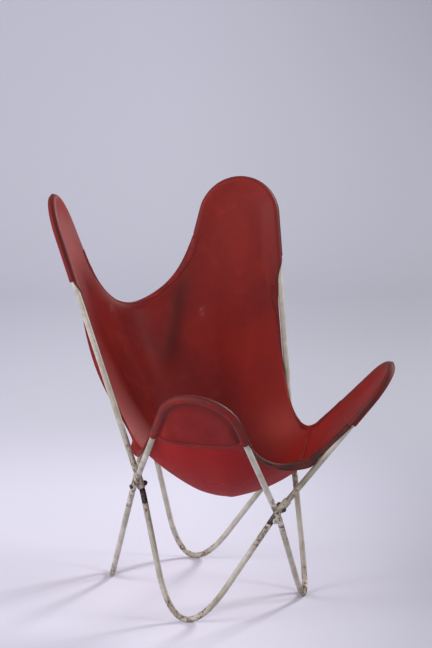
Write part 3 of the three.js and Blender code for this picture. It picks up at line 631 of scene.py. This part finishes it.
for name, crossing in crossings.items():
    leg = ear_with(name, True).leg[name]
    up = -leg.direction
    base = leg.end + up * crossing.sleeve_height
    centre = base + up * BOLT_HEIGHT
    seat = SLEEVE + FIT_GAP if crossing.welded else crossing.spacing + ROD + WELD_GAP
    axis = unit(crossing.across - up * (crossing.across @ up)) if crossing.welded else crossing.across
    grid = turned_grid(sleeve_profile, base, up, 48)
    grid["values"] = {"wear": 0.75, "bare": 0}
    add_grid(f"{name}_collar", grid, enamel, f"{name}_sleeve")
    grid = turned_grid(bolt_profile(seat), centre, axis, 36, ring=False)
    add_grid(f"{name}_cap_screw", grid, bolt_steel, f"{name}_bolt")
    base = centre - axis * (SLEEVE + 2 * FIT_GAP + NUT_THICKNESS)
    grid = turned_grid(nut_profile, base, axis, 72, nut_radius)
    add_grid(f"{name}_hex_nut", grid, bolt_steel, f"{name}_nut")

BEAD_LENGTH, BEAD_DEPTH, BEAD_DROP = 8.2 * MM, 4.4 * MM, 10.5 * MM
for name, crossing in crossings.items():
    if not crossing.welded:
        continue
    legs = [unit(foot.low - crossing.rods[foot.inner]) for foot in feet.values() if name in foot.legs]
    down = unit(legs[0] + legs[1])
    wide = unit(np.cross(down, crossing.across))
    through = np.cross(wide, down)
    # A bead: a ball with three radii, whose surface ripples along it in overlapping scallops
    lift, turn = np.meshgrid(np.linspace(-np.pi / 2, np.pi / 2, 33)[1:-1],
                             np.linspace(0, 2 * np.pi, 48, False), indexing="ij")
    scallop = 1 + 0.05 * np.abs(np.sin(4.5 * lift + 0.4 * np.cos(turn)))
    ball = [np.cos(lift) * np.cos(turn), np.sin(lift), np.cos(lift) * np.sin(turn)]
    bead = sum((scallop * part)[..., None] * arm for part, arm in zip(
        ball, (wide * BEAD_LENGTH, down * BEAD_LENGTH, through * BEAD_DEPTH)))
    grid = {"points": crossing.at + down * BEAD_DROP + bead, "round": True, "caps": 2,
            "values": {"wear": 1.0, "bare": 0}}
    add_grid(f"{name}_bead", grid, enamel, f"{name}_weld")

# ---------------------------------------------------------------- the sling's lines
SEAT_LOW = place(0, -92, 244)
HANGS = {"side_left": (178, -60, 306), "side_right": (178, -60, 306),
         "back": (0, 205, 405), "front": (0, -205, 300)}
ORDER = ("front_left", "back_left", "back_right", "front_right")
FROM = {"front_left": "front", "back_left": "side_left", "back_right": "back", "front_right": "side_right"}
TO = {"front_left": "side_left", "back_left": "back", "back_right": "side_right", "front_right": "front"}
BAND_ROWS, SPOKE_ROWS = 20, 56
STEP = 6 * MM


def over_rod(reach, leave=np.pi / 2):
    """Cloth over a rod, as widths out from the rod and over it. Reach is the length along the cloth from
    where it first touches: behind that the cloth is straight, then it follows a circle as far as the
    leave angle, and from there it is straight again."""
    turn = np.clip(reach / BEND, 0, leave + TOUCH)
    angle = turn - TOUCH
    back, ahead = np.minimum(reach, 0), np.maximum(reach - BEND * turn, 0)
    out = BEND * np.sin(angle) + back * math.cos(TOUCH) + ahead * np.cos(angle)
    over = BEND * np.cos(angle) + back * math.sin(TOUCH) - ahead * np.sin(angle)
    return out, over


def pocket_length(crossing):
    return END_POCKET if crossings[crossing].welded else SIDE_POCKET


def tuck_of(ear, crossing):
    return TUCK[ear.side] if ear.size is back_ear and not crossings[crossing].welded else 0


RIM_REACH = BEND * (np.pi / 2 + TOUCH)


def rim_reach(ear, crossing, down):
    """The rim goes round to the rod's side as far as the pocket, and on a back ear's side leg it then
    tucks in behind the rod."""
    pocket, tuck = pocket_length(crossing), tuck_of(ear, crossing)
    tucked = ease(down, pocket, pocket + tuck) if tuck else 0 * down
    tucked_reach = (BEND * math.sin(TOUCH) - TUCK_DEPTH[ear.side]) / math.cos(TOUCH)
    return RIM_REACH + (tucked_reach - RIM_REACH) * tucked


def ear_line(ear, first, last, extra=True):
    """The rod's centre line and outward direction round an ear, from low on one leg to low on the other,
    with each point's length down its leg."""
    one, two = ear.leg[first], ear.leg[last]
    reach = [pocket_length(name) + (tuck_of(ear, name) if extra else 0) for name in (first, last)]
    count = [max(int(length / STEP), 2) for length in reach]
    down = np.concatenate([np.linspace(reach[0], 0, count[0], False), np.linspace(0, 0, 1)])
    start = (one.tangent + down[:, None] * one.direction, np.broadcast_to(one.out, (len(down), 3)), down)
    middle = arc(ear.centre, one.tangent, two.tangent, STEP / ear.radius)[1:-1]
    bend = (middle, unit(middle - ear.centre), np.zeros(len(middle)))
    down = np.linspace(0, reach[1], count[1] + 1)
    finish = (two.tangent + down[:, None] * two.direction, np.broadcast_to(two.out, (len(down), 3)), down)
    centre, out, down = (np.concatenate(parts) for parts in zip(start, bend, finish))
    leg_name = np.array([first] * len(start[0]) + [""] * len(middle) + [last] * len(finish[0]))
    return centre, out, down, leg_name


def band_over(centre, out, normal, end, leave=np.pi / 2, length=BAND):
    """Rows of cloth over a rod, in from its rim by a length; the rim is at the end reach."""
    reach = np.reshape(end, (-1, 1)) - length * (1 - np.linspace(0, 1, BAND_ROWS))[None]
    wide, high = over_rod(reach, leave)
    return centre[:, None] + wide[..., None] * out[:, None] + high[..., None] * normal


def throat_of(ear, depth, bulge, rims):
    spread = ((rims - ear.centre) @ ear.across)[:, None] * THROAT_SPREAD
    return ear.centre + ear.down * depth - ear.normal * bulge + spread * ear.across


THROAT_SPREAD = 0.6
THROATS = {"front": (120 * MM, 16 * MM), "back": (290 * MM, 22 * MM)}


def beside(ear, crossing, down, out, over):
    leg = ear.leg[crossing]
    return leg.tangent + leg.direction * down + leg.out * out + ear.normal * over


def lying_band(ear, crossing, down, out, over):
    """Cloth that lies over a leg and reaches a rim point beside it: the leave angle is the rim point's own
    angle less the angle whose cosine is the circle's radius over the point's distance."""
    away = math.hypot(out, over)
    leave = max(math.atan2(out, over) - math.acos(min(BEND / away, 1)), -TOUCH)
    ahead = math.sqrt(max(away ** 2 - BEND ** 2, 0))
    end = BEND * (leave + TOUCH) + ahead
    leg = ear.leg[crossing]
    centre = (leg.tangent + leg.direction * down)[None]
    return band_over(centre, leg.out[None], ear.normal, end, leave, end + 20 * MM)[0]


def straight_band(rim, hang):
    return rim + unit(hang - rim) * BAND * (1 - np.linspace(0, 1, BAND_ROWS))[:, None]


def under_band(rim, ridge, hang):
    """Two straight runs, from behind the ridge over it to the rim."""
    points = np.stack([ridge + unit(hang - ridge) * 20 * MM, ridge, rim])
    length = measure(points)
    at = np.linspace(0, length[-1], BAND_ROWS)
    return np.stack([np.interp(at, length, points[:, k]) for k in range(3)], 1)


def notch_spots(name, ends):
    """The edge of a notch: spots beside its two legs (down, out and over), and spots from the crossing."""
    at, mirror = crossings[name].at, RIGHT if name == "side_right" else LEFT
    hang = place(*HANGS[name], mirror)

    def leg_spot(end, lies, down=None, up=None, out=0.0, over=0.0):
        ear, crossing = ends[end]
        down = ear.leg[crossing].length - up * MM if down is None else down * MM
        if lies:
            return lying_band(ear, crossing, down, out * MM, over * MM)
        return straight_band(beside(ear, crossing, down, out * MM, over * MM), hang)

    def free_spot(side, rear, height):
        return at + np.array([mirror * side, rear, height]) * MM

    if name == "back":
        lying = [(115, 13, 7), (155, 25, 5), (199, 47, 13)]
        half = [[leg_spot(end, True, d, None, o, v) for d, o, v in lying] for end in (0, 1)]
        return [*half[0], under_band(free_spot(0, 59, 288), free_spot(0, 28, 206), hang), *half[1][::-1]]
    if name == "front":
        high = [leg_spot(0, False, d, None, o, v) for d, o, v in ((110, 0, 14), (162, 2, 31))]
        low = [leg_spot(1, True, d, None, o, v)
               for d, o, v in ((182, 0, 17), (160, 0, 10), (128, 3, 7.5), (92, 7, 4))]
        return [*high, straight_band(free_spot(0, -25, 108), hang), *low]
    # The sling hangs a little to the sitter's right: there its edge stands out behind the back leg
    if name == "side_left":
        return [
            *(leg_spot(0, True, d, None, o, v) for d, o, v in ((134, 8, 3), (166, 4, 7))),
            leg_spot(0, False, 192, None, -5, 7),
            *(straight_band(free_spot(*spot), hang) for spot in ((4, -62, 68), (7, -37, 77), (10, -13, 84))),
            *(leg_spot(1, False, None, u, o, v) for u, o, v in (
                (102, 7, 18), (127, 0, 12), (151, -5, 8), (207, -9, 3), (258, -9, 3))),
            leg_spot(1, False, 194, None, -8, 3)]
    return [
        leg_spot(0, False, 194, None, -19, -10),
        *(leg_spot(0, False, None, u, o, v) for u, o, v in ((258, -22, -16), (151, -23, 1), (102, -6, 18))),
        *(straight_band(free_spot(*spot), hang) for spot in ((12, 2, 83), (21, -36, 75))),
        *(leg_spot(1, True, d, None, o, v) for d, o, v in ((168, 10, 10), (134, 9, 6)))]


def band_at(ear, crossing, back=0):
    """The band where an ear's columns end low on a leg, or a length back from there."""
    leg, far = ear.leg[crossing], pocket_length(crossing) + tuck_of(ear, crossing) - back
    centre = (leg.tangent + leg.direction * far)[None]
    return band_over(centre, leg.out[None], ear.normal, rim_reach(ear, crossing, np.array([far])))[0]


# ---------------------------------------------------------------- the sling's surface
bands, outers, kinds = [], [], []
ear_columns, notch_columns = {}, {}
column = 0
for name in ORDER:
    ear = ears[name]
    depth, bulge = THROATS[name.split("_")[0]]
    centre, out, down, leg_name = ear_line(ear, FROM[name], TO[name])
    end = np.where(leg_name == FROM[name], rim_reach(ear, FROM[name], down), rim_reach(ear, TO[name], down))
    end = np.where(leg_name == "", RIM_REACH, end)
    band = band_over(centre, out, ear.normal, end)
    bands.append(band)
    outers.append(throat_of(ear, depth, bulge, band[:, 0]))
    kinds.append(np.ones(len(band)))
    ear_columns[name] = (column, column + len(band))
    column += len(band)

    notch, after = TO[name], ORDER[(ORDER.index(name) + 1) % 4]
    both = [(ear, notch), (ears[after], FROM[after])]
    first, last = (band_at(*end) for end in both)
    before, beyond = (band_at(*end, 3 * STEP) for end in both)
    keys = np.stack([before, first, *notch_spots(notch, both), last, beyond])
    chord = measure(keys[:, -1])
    count = int((chord[-2] - chord[1]) / STEP)
    at = np.interp(np.linspace(chord[1], chord[-2], count + 1)[1:-1], chord, np.arange(len(keys)))
    k = at.astype(int)
    local = (at - k)[:, None, None]
    band = keys[k] * (1 - local) + keys[k + 1] * local
    rim = smooth_line(keys[:, -1], at)
    band += (rim - band[:, -1])[:, None] * (np.linspace(0, 1, BAND_ROWS) ** 2)[None, :, None]
    share = ((at - 1) / (len(keys) - 3))[:, None]
    depth2, bulge2 = THROATS[after.split("_")[0]]
    hang = place(*HANGS[notch], RIGHT if notch == "side_right" else LEFT)
    near, far = ease(share, 0.1, 0.5), ease(share, 0.5, 0.9)
    outer = throat_of(ear, depth, bulge, band[:, 0]) * (1 - near) + hang * near
    outer = outer * (1 - far) + throat_of(ears[after], depth2, bulge2, band[:, 0]) * far
    bands.append(band)
    outers.append(outer)
    kinds.append(np.zeros(len(band)))
    notch_columns[notch] = (column, column + len(band))
    column += len(band)

bands, outers, on_ear = np.concatenate(bands), np.concatenate(outers), np.concatenate(kinds)

# A spoke is a cubic from the seat's low point to the band. Near the band it bends into the band's own
# direction: the difference of the two directions times s e^(-s/L), where s is the distance to the band
inner = (SEAT_LOW + outers) / 2
inner[:, 2] = SEAT_LOW[2] + (outers[:, 2] - SEAT_LOW[2]) * 0.07
t = (np.arange(1, SPOKE_ROWS + 1) / (SPOKE_ROWS + 1))[:, None, None]
start = bands[:, 0]
spokes = ((1 - t) ** 3 * SEAT_LOW + 3 * t * (1 - t) ** 2 * inner
          + 3 * t * t * (1 - t) * outers + t ** 3 * start)
turn_in = unit(start - bands[:, 1]) - unit(outers - start)
away = np.linalg.norm(spokes - start, axis=-1, keepdims=True)
spokes = spokes + turn_in * away * np.exp(-away / (26 * MM))
sling = np.concatenate([spokes, bands.transpose(1, 0, 2)])
ROWS, COLUMNS = sling.shape[:2]

legs = [(leg.tangent, leg.end) for ear in ears.values() for leg in ear.leg.values()]
legs += [(top, foot.low + unit(top - foot.low) * FOOT_BEND)
         for foot in feet.values() for top in (crossings[name].rods[foot.inner] for name in foot.legs)]


def clear_of_rods(points, gap=BEND):
    """Points nearer to a straight leg than the gap move square away from it, up to the gap."""
    for start, end in legs:
        run = end - start
        share = np.clip(((points - start) @ run) / (run @ run), 0, 1)[..., None]
        off = points - (start + share * run)
        away = np.linalg.norm(off, axis=-1, keepdims=True)
        points = np.where(away < gap, points + off / np.maximum(away, 1e-9) * (gap - away), points)
    return points


def normals_of(points):
    """The way a sheet faces: its slope along the rows x its slope along the closed columns."""
    along = np.gradient(points, axis=0)
    around = (np.roll(points, -1, axis=1) - np.roll(points, 1, axis=1)) / 2
    return unit(np.cross(along, around))


def notch_range(name, extra=0):
    start, end = notch_columns[name]
    return np.arange(start - extra, end + extra) % COLUMNS


# The cloth settles: each free point moves half way to its four neighbours' mean, clear of the rods. In
# the first rounds all of it moves, and after them only the parts beside the notches do
SETTLE_ROUNDS, FIRST_ROUNDS = 260, 14
row = np.arange(ROWS)[:, None]
free = 0.5 * np.where(row < SPOKE_ROWS, 1, (1 - on_ear) * (row < ROWS - 1))
free = (free * np.where(on_ear, ease(SPOKE_ROWS - row, 0, 8), 1))[..., None]
beside_notch = np.zeros(COLUMNS)
for name, share in (("side_left", 1), ("side_right", 1), ("back", 0.4), ("front", 0.15)):
    beside_notch[slice(*notch_columns[name])] = share
spread = np.arange(-24, 25)
beside_notch = np.convolve(np.tile(beside_notch, 3), np.cos(spread / 25 * np.pi / 2) ** 2, "same")
beside_notch = beside_notch[COLUMNS:2 * COLUMNS]
slack = (np.clip(beside_notch / 16, 0, 1) * ease(row, 14, 30))[..., None]
fair = np.where(on_ear, ease(SPOKE_ROWS - row, 0, 12), 1 - ease(row, ROWS - 12, ROWS - 3))
fair = (0.5 * ease(row, 4, 12) * fair)[..., None]
for k in range(SETTLE_ROUNDS):
    middle = np.broadcast_to(sling[:1].mean(1, keepdims=True), sling[:1].shape)
    padded = np.concatenate([middle, sling, sling[-1:]])
    mean = (padded[:-2] + padded[2:] + np.roll(sling, 1, axis=1) + np.roll(sling, -1, axis=1)) / 4
    sling = sling + free * (1 if k < FIRST_ROUNDS else slack) * (mean - sling)
    sling = sling + fair * ((np.roll(sling, 1, axis=1) + np.roll(sling, -1, axis=1)) / 2 - sling)
    if k < FIRST_ROUNDS or k % 5 == 4:
        sling = clear_of_rods(sling)

# Between the back legs it sags behind them, by a share of (1 - u^2)^2 across
BACK_SAG, NOTCH_DIP = 13 * MM, 15 * MM
back_leg = ears["back_left"].leg["back"]
height, rear = sling[..., 2], sling[..., 1]
half = np.abs(back_leg.tangent[0]
              + (height - back_leg.tangent[2]) / back_leg.direction[2] * back_leg.direction[0])
u = np.clip(sling[..., 0] / np.maximum(half, 20 * MM), -1, 1)
sag = BACK_SAG * (1 - u * u) ** 2 * ease(height, 0.40, 0.50) * (1 - ease(height, 0.56, 0.64))
sling[..., 1] += sag * ease(rear, 0.14, 0.22)

# By the left side notch it hangs down to its edge
away = ((sling - place(212, -80, 376)) ** 2).sum(-1)
sling[..., 2] -= NOTCH_DIP * np.exp(-away / (42 * MM) ** 2) * (1 - ease(row, 62, 75))


def near_line(points, start, end, width):
    """A soft stripe: e^(-(d/width)^2), where d is the distance to a straight line. It fades at its ends."""
    run = end - start
    share = ((points - start) @ run) / (run @ run)
    off = points - (start + np.clip(share, 0, 1)[..., None] * run)
    return np.exp(-(off ** 2).sum(-1) / width ** 2) * ease(share, -0.1, 0.25) * (1 - ease(share, 0.7, 1.1))


# A soft fold stands beside a back leg and carries painted shade; the leather is paler in a few spots,
# soiled along the front notch, has a painted sheen by the left side notch, and has a brighter red painted
# on the sitter's left, where light falls
# The fold's mask both sinks the sheet and darkens its colour as painted shade
fold_and_shade = near_line(sling, place(116, 258, 662), place(30, 205, 470), 20 * MM)
sling = sling - normals_of(sling) * fold_and_shade[..., None] * 6 * MM
rub = sum(near_line(sling, place(*spot, top), place(*spot, low), width * MM)
          for spot, top, low, width in (
              ((-96, 250), 622, 572, 10), ((-66, 262), 610, 586, 7), ((133, 214), 596, 566, 6)))
across_rows = measure(sling)
to_rim = across_rows[-1] - across_rows
soil = np.zeros(COLUMNS)
soil[notch_range("front", 14)] = 1
soil = soil * np.exp(-np.maximum(to_rim - 8 * MM, 0) / (16 * MM))
# Painted sheen: a broad soft spot by the left side notch
dust = np.exp(-((sling - place(200, -20, 345)) ** 2).sum(-1) / (60 * MM) ** 2)
# Painted light: a brighter red on the sitter's left, weaker high up and towards the back
painted_light = ease(sling[..., 0], 105 * MM, 175 * MM) * (1 - 0.7 * ease(sling[..., 2], 0.5, 0.62))
painted_light = painted_light * (0.35 + 0.65 * ease(sling[..., 1], -0.16, -0.05))
sling = clear_of_rods(sling)
sling_normals = normals_of(sling)

edge = 1 - np.clip(to_rim / (60 * MM), 0, 1)
front_ear_share = np.zeros(COLUMNS)
for name in ("front_left", "front_right"):
    front_ear_share[slice(*ear_columns[name])] = 1
crown = on_ear * ease(row, SPOKE_ROWS + 3, SPOKE_ROWS + 14) * (0.15 + 0.85 * front_ear_share)
rim_length = measure(np.concatenate([sling[-1], sling[-1:, 0]]))
sling_grid = {"points": sling, "round": True, "caps": 1, "u": across_rows.mean(1), "v": rim_length,
              "values": {"edge": edge, "crown": crown, "fold_and_shade": fold_and_shade, "rub": rub, "painted_light": painted_light,
                         "dust": dust, "soil": soil}}

SEAM = {mirror: (place(9, -285, 0, mirror), place(206, -98, 0, mirror)) for mirror in (LEFT, RIGHT)}


def seam_side(mirror):
    """A point of the seam's upright plane and the level direction square to it, towards the front."""
    start, end = SEAM[mirror]
    along = unit(end - start)
    return start, np.array([along[1], -along[0], 0]) * mirror


def cut_panel(name, keep):
    """The sling's part behind both seams, or the part in front of one."""
    mesh = grid_mesh(name, [sling_grid])
    cut = bmesh.new()
    cut.from_mesh(mesh)
    for mirror in (LEFT, RIGHT) if keep == 0 else (keep,):
        start, front = seam_side(mirror)
        bmesh.ops.bisect_plane(
            cut, geom=[*cut.verts, *cut.edges, *cut.faces], plane_co=start, plane_no=front,
            clear_outer=keep == 0, clear_inner=keep != 0)
    cut.to_mesh(mesh)
    cut.free()
    return mesh


sheets = {}
for name, keep in (("main_panel", 0), ("front_left_panel", LEFT), ("front_right_panel", RIGHT)):
    sheets[name] = add_piece(f"{name}_cloth", cut_panel(name, keep), [seat_leather, outer_leather],
                             [name])
    thicken(sheets[name], LEATHER, 1)


# ---------------------------------------------------------------- pockets, hems, seams and piping
def inset(points, normals, distance):
    """The points and normals of a sheet at a length in from its last row."""
    back = points[::-1]
    length = measure(back)
    column = np.arange(points.shape[1])
    k = np.clip((length < distance).sum(0) - 1, 0, len(back) - 2)
    share = ((distance - length[k, column]) / (length[k + 1, column] - length[k, column]))[:, None]
    mixed = [rows[k, column] * (1 - share) + rows[k + 1, column] * share for rows in (back, normals[::-1])]
    return mixed[0], unit(mixed[1])


def hem_grid(points, normals, width, lift, behind):
    """A turned hem: flat on the sheet's face out to its edge, half a turn round the edge by cosine and
    sine, and flat again on the back."""
    rows = []
    for distance in np.linspace(width, 0, 8)[:-1]:
        spot, face = inset(points, normals, distance)
        rows.append(spot + face * lift)
    rim, face = points[-1], unit(normals[-1])
    out = unit(rim - inset(points, normals, 3 * MM)[0])
    out = unit(out - face * dot(out, face))
    turn = np.linspace(0, np.pi, 9)[:, None, None]
    rows = np.concatenate([rows, rim + lift * (np.cos(turn) * face + np.sin(turn) * out)])
    under = []
    for distance in np.linspace(0, behind, 5)[1:]:
        spot, face = inset(points, normals, distance)
        under.append(spot - face * lift)
    rows = np.concatenate([rows, under])
    return {"points": rows, "u": measure(rows).mean(1), "v": measure(rows[0])}


for name in notch_columns:
    columns = notch_range(name)
    grid = hem_grid(sling[:, columns], sling_normals[:, columns], HEM_WIDTH, LEATHER / 2 + 0.6 * MM, 11 * MM)
    finish = worn_hem_leather if name == "front" else hem_leather
    thicken(add_grid(f"{name}_turned_hem", grid, finish, f"{name}_notch_hem"), 1.0 * MM)

POCKET_LAP = 0.45
CREASE_DEPTH, CREASE_WIDTH = 3.6 * MM, 7 * MM
PIPING = 1.35 * MM
POCKET_SAG = {"front": 17 * MM, "back": 14 * MM}
pockets, pocket_hems, pipings = {}, {}, {}
for name in ORDER:
    ear = ears[name]
    centre, out, down, _ = ear_line(ear, FROM[name], TO[name], extra=False)
    angle = np.linspace(np.pi / 2, np.pi + POCKET_LAP, 10)[:, None, None]
    wrap = centre + BEND * (np.sin(angle) * out + np.cos(angle) * ear.normal)
    last = wrap[-1]
    length = measure(last)
    u = (length / length[-1])[:, None]
    sag = POCKET_SAG[name.split("_")[0]]
    hem = last[0] + (last[-1] - last[0]) * u + ear.down * sag * 4 * u * (1 - u)
    k = np.linspace(0, 1, 25)[1:, None, None]
    run = hem - last
    reach = np.linalg.norm(run, axis=-1, keepdims=True)
    face = last + run * k
    dip = -out * math.cos(POCKET_LAP) + ear.normal * math.sin(POCKET_LAP)
    turn_in = (dip - run / np.maximum(reach, 1e-9)) * reach * k * np.exp(-reach * k / (9 * MM))
    face = face + turn_in * (reach > 4 * MM)
    far = reach * k / CREASE_WIDTH
    ripple = np.sin(7.0 * u + 1.5 * k) + 0.6 * np.sin(17 * u - 2 * k + 1) + 0.35 * np.sin(31 * u + 3 * k)
    crease = far * np.exp(1 - far) * np.minimum(reach / (30 * MM), 1)
    lift = CREASE_DEPTH * crease * (1 + 0.25 * np.sin(11 * u + 2))
    face = face + ear.normal * (lift - 1.8 * MM * ripple * np.sin(np.pi * k) * (4 * u * (1 - u)))
    points = np.concatenate([wrap, face])
    normals = unit(np.cross(np.gradient(points, axis=0), np.gradient(points, axis=1)))
    rows = measure(points)
    edge_value = 1 - np.clip((rows[-1] - rows) / (60 * MM), 0, 1)
    # The front pockets get more grime on the roll and more painted shade in the recess than the back ones
    worn = 1.0 if name.startswith("front") else 0.25
    crown_value = (1 - ease(np.arange(len(points)), 7, 13)[:, None]) * worn
    shadow = crease + 0.7 * worn * ease(u, 0.3, 0.75) * (1 - ease(k, 0.3, 0.95))
    shadow = np.clip(shadow - 0.5 * np.exp(-(u / 0.2) ** 2), 0, 1.1)
    grid = {"points": points, "u": rows.mean(1), "v": length,
            "values": {"edge": edge_value * 0.6, "crown": crown_value * np.ones(len(centre)),
                       "fold_and_shade": np.concatenate([np.zeros(wrap.shape[:2]), shadow[..., 0]]) * 0.8}}
    pockets[name] = thicken(
        add_grid(f"{name}_pocket_cloth", grid, pocket_leather, f"{name}_pocket"), LEATHER)
    grid = hem_grid(points[:, 1:-1], normals[:, 1:-1], 12 * MM, LEATHER / 2 + 0.5 * MM, 8 * MM)
    pocket_hems[name] = thicken(add_grid(f"{name}_pocket_hem", grid, hem_leather), 0.9 * MM)
    cord = centre + out * (BEND + 0.9 * MM)
    grid = rod_grid(cord, ear.normal, PIPING, 12, values={"edge": 0, "crown": 0.4})
    pipings[name] = add_grid(f"{name}_piping", grid, piping_leather)


def seam_grid(mirror):
    """A strip over the seam. Each of its rows is where the spokes cross an upright plane a little before
    or behind the seam, found from the change of sign between two rows of the sling."""
    start, front = seam_side(mirror)
    order = np.roll(np.arange(COLUMNS), COLUMNS // 2)
    points, normals = sling[:, order], sling_normals[:, order]
    column = np.arange(COLUMNS)
    rows, found = [], np.ones(COLUMNS, bool)
    for offset, lift in zip(np.array([-5, -4, -1, 1, 4, 5]) * MM, (0.15, 0.9, 1.25, 1.25, 0.9, 0.15)):
        side = (points - start) @ front - offset
        crosses = (side[1:] > 0) & (side[:-1] <= 0)
        k = crosses.argmax(0)
        share = (side[k, column] / (side[k, column] - side[k + 1, column]))[:, None]
        spot = points[k, column] * (1 - share) + points[k + 1, column] * share
        face = unit(normals[k, column] * (1 - share) + normals[k + 1, column] * share)
        rows.append(spot + face * (LEATHER / 2 + lift * MM))
        found &= crosses.any(0) & (points[-1, :, 0] * mirror > 0)
    rows = np.stack(rows)[:, found]
    return {"points": rows, "u": measure(rows).mean(1), "v": measure(rows[0])}


seam_leather = stitched_leather(
    "seam_leather", shade(124, 24, 19), shade(146, 32, 25), (2.6 * MM, 7.4 * MM), shade(158, 88, 78))
seams = {}
for side, mirror in (("left", LEFT), ("right", RIGHT)):
    mesh = grid_mesh(f"{side}_seam", [seam_grid(mirror)])
    seams[side] = add_piece(f"{side}_lapped_seam", mesh, [seam_leather])
    thicken(seams[side], 0.5 * MM)

# ---------------------------------------------------------------- the studio
YAW, TILT, ROLL, DISTANCE, LENS = -0.6107, 0.2003, -0.0028, 4.6077, 117.70
forward = np.array([-math.sin(YAW) * math.cos(TILT), math.cos(YAW) * math.cos(TILT), -math.sin(TILT)])
right = np.array([math.cos(YAW), math.sin(YAW), 0])
up = np.cross(right, forward)
aim = right * 0.0186 + np.array([0, 0, 0.6071]) + SHIFT


def facing(spot, right, up, back):
    """The place and turn of something at a spot, by where its own three axes point."""
    turn = Matrix([[*row] for row in np.stack([right, up, back], 1)]).to_4x4()
    return Matrix.Translation(spot) @ turn


view_right = right * math.cos(ROLL) + up * math.sin(ROLL)
view_up = up * math.cos(ROLL) - right * math.sin(ROLL)
camera = in_scene("camera", bpy.data.cameras.new("camera"))
camera.data.lens = LENS
camera.matrix_world = facing(aim - forward * DISTANCE, view_right, view_up, -forward)
bpy.context.scene.camera = camera
level = unit(np.array([forward[0], forward[1], 0]))


def sweep_finish():
    """A pale floor that darkens to the right and, softly, up the wall: painted light and shade."""
    f = Finish("studio_sweep")
    depth, leftwards = f.lay()
    # Painted shade: the floor and wall darken to the right, as the light falls off
    floor = f.mix(leftwards.rise(-0.75, 0.15), shade(150, 149, 161), shade(211, 209, 223))
    wall = f.mix(leftwards.rise(-1.0, 0.7), shade(150, 150, 159), shade(196, 195, 207))
    high = f.mix(leftwards.rise(-1.2, 0.4), shade(184, 184, 195), shade(204, 203, 215))
    wall = f.mix(depth.rise(11.6, 14.2), wall, high)
    return f.done({"Base Color": f.mix(depth.rise(9.7, 10.7), floor, wall), "Roughness": 0.9})


def studio_sweep():
    """Floor, a quarter circle and a wall, carried straight across the view."""
    turn = np.linspace(0, np.pi / 2, 25)
    far, bend = 3.6, 1.6
    depth = np.concatenate([[-9, -4, -1, 1], far + bend * np.sin(turn), [far + bend]])
    height = np.concatenate([[0, 0, 0, 0], bend * (1 - np.cos(turn)), [9]])
    wide = np.linspace(-9, 9, 3)
    points = (depth[:, None, None] * level + height[:, None, None] * np.array([0, 0, 1.0])
              - wide[None, :, None] * right)
    mesh = grid_mesh("sweep", [{"points": points, "u": measure(points)[:, 1], "v": wide}])
    mesh.materials.append(sweep_finish())
    in_scene("sweep", mesh)


studio_sweep()


def softbox(name, side, depth, height, size, power):
    """A square lamp beside, behind and above the chair, facing the middle of the sling."""
    lamp = bpy.data.lights.new(name, "AREA")
    lamp.shape, lamp.size, lamp.energy = "SQUARE", size, power
    box = in_scene(name, lamp)
    spot = right * side + level * depth + np.array([0, 0, height])
    face = unit(np.array([0, 0, 0.45]) - spot)
    first = unit(np.cross(face, [0, 0, 1.0]))
    box.matrix_world = facing(spot, first, np.cross(first, face), -face)


softbox("key_box", 2.9, 2.6, 2.3, 0.9, 150)
softbox("side_box", 3.2, -0.6, 2.2, 0.8, 40)
softbox("left_box", -3.8, -1.4, 2.0, 2.2, 120)
softbox("front_box", -0.8, -4.6, 1.7, 1.8, 50)
softbox("top_box", 0.0, 0.0, 3.6, 2.4, 45)
world = bpy.data.worlds.new("studio_air")
bpy.context.scene.world = world
world.use_nodes = True
world.node_tree.nodes["Background"].inputs["Color"].default_value = shade(232, 231, 238)
world.node_tree.nodes["Background"].inputs["Strength"].default_value = 0.55
bpy.context.scene.view_settings.view_transform = "Standard"
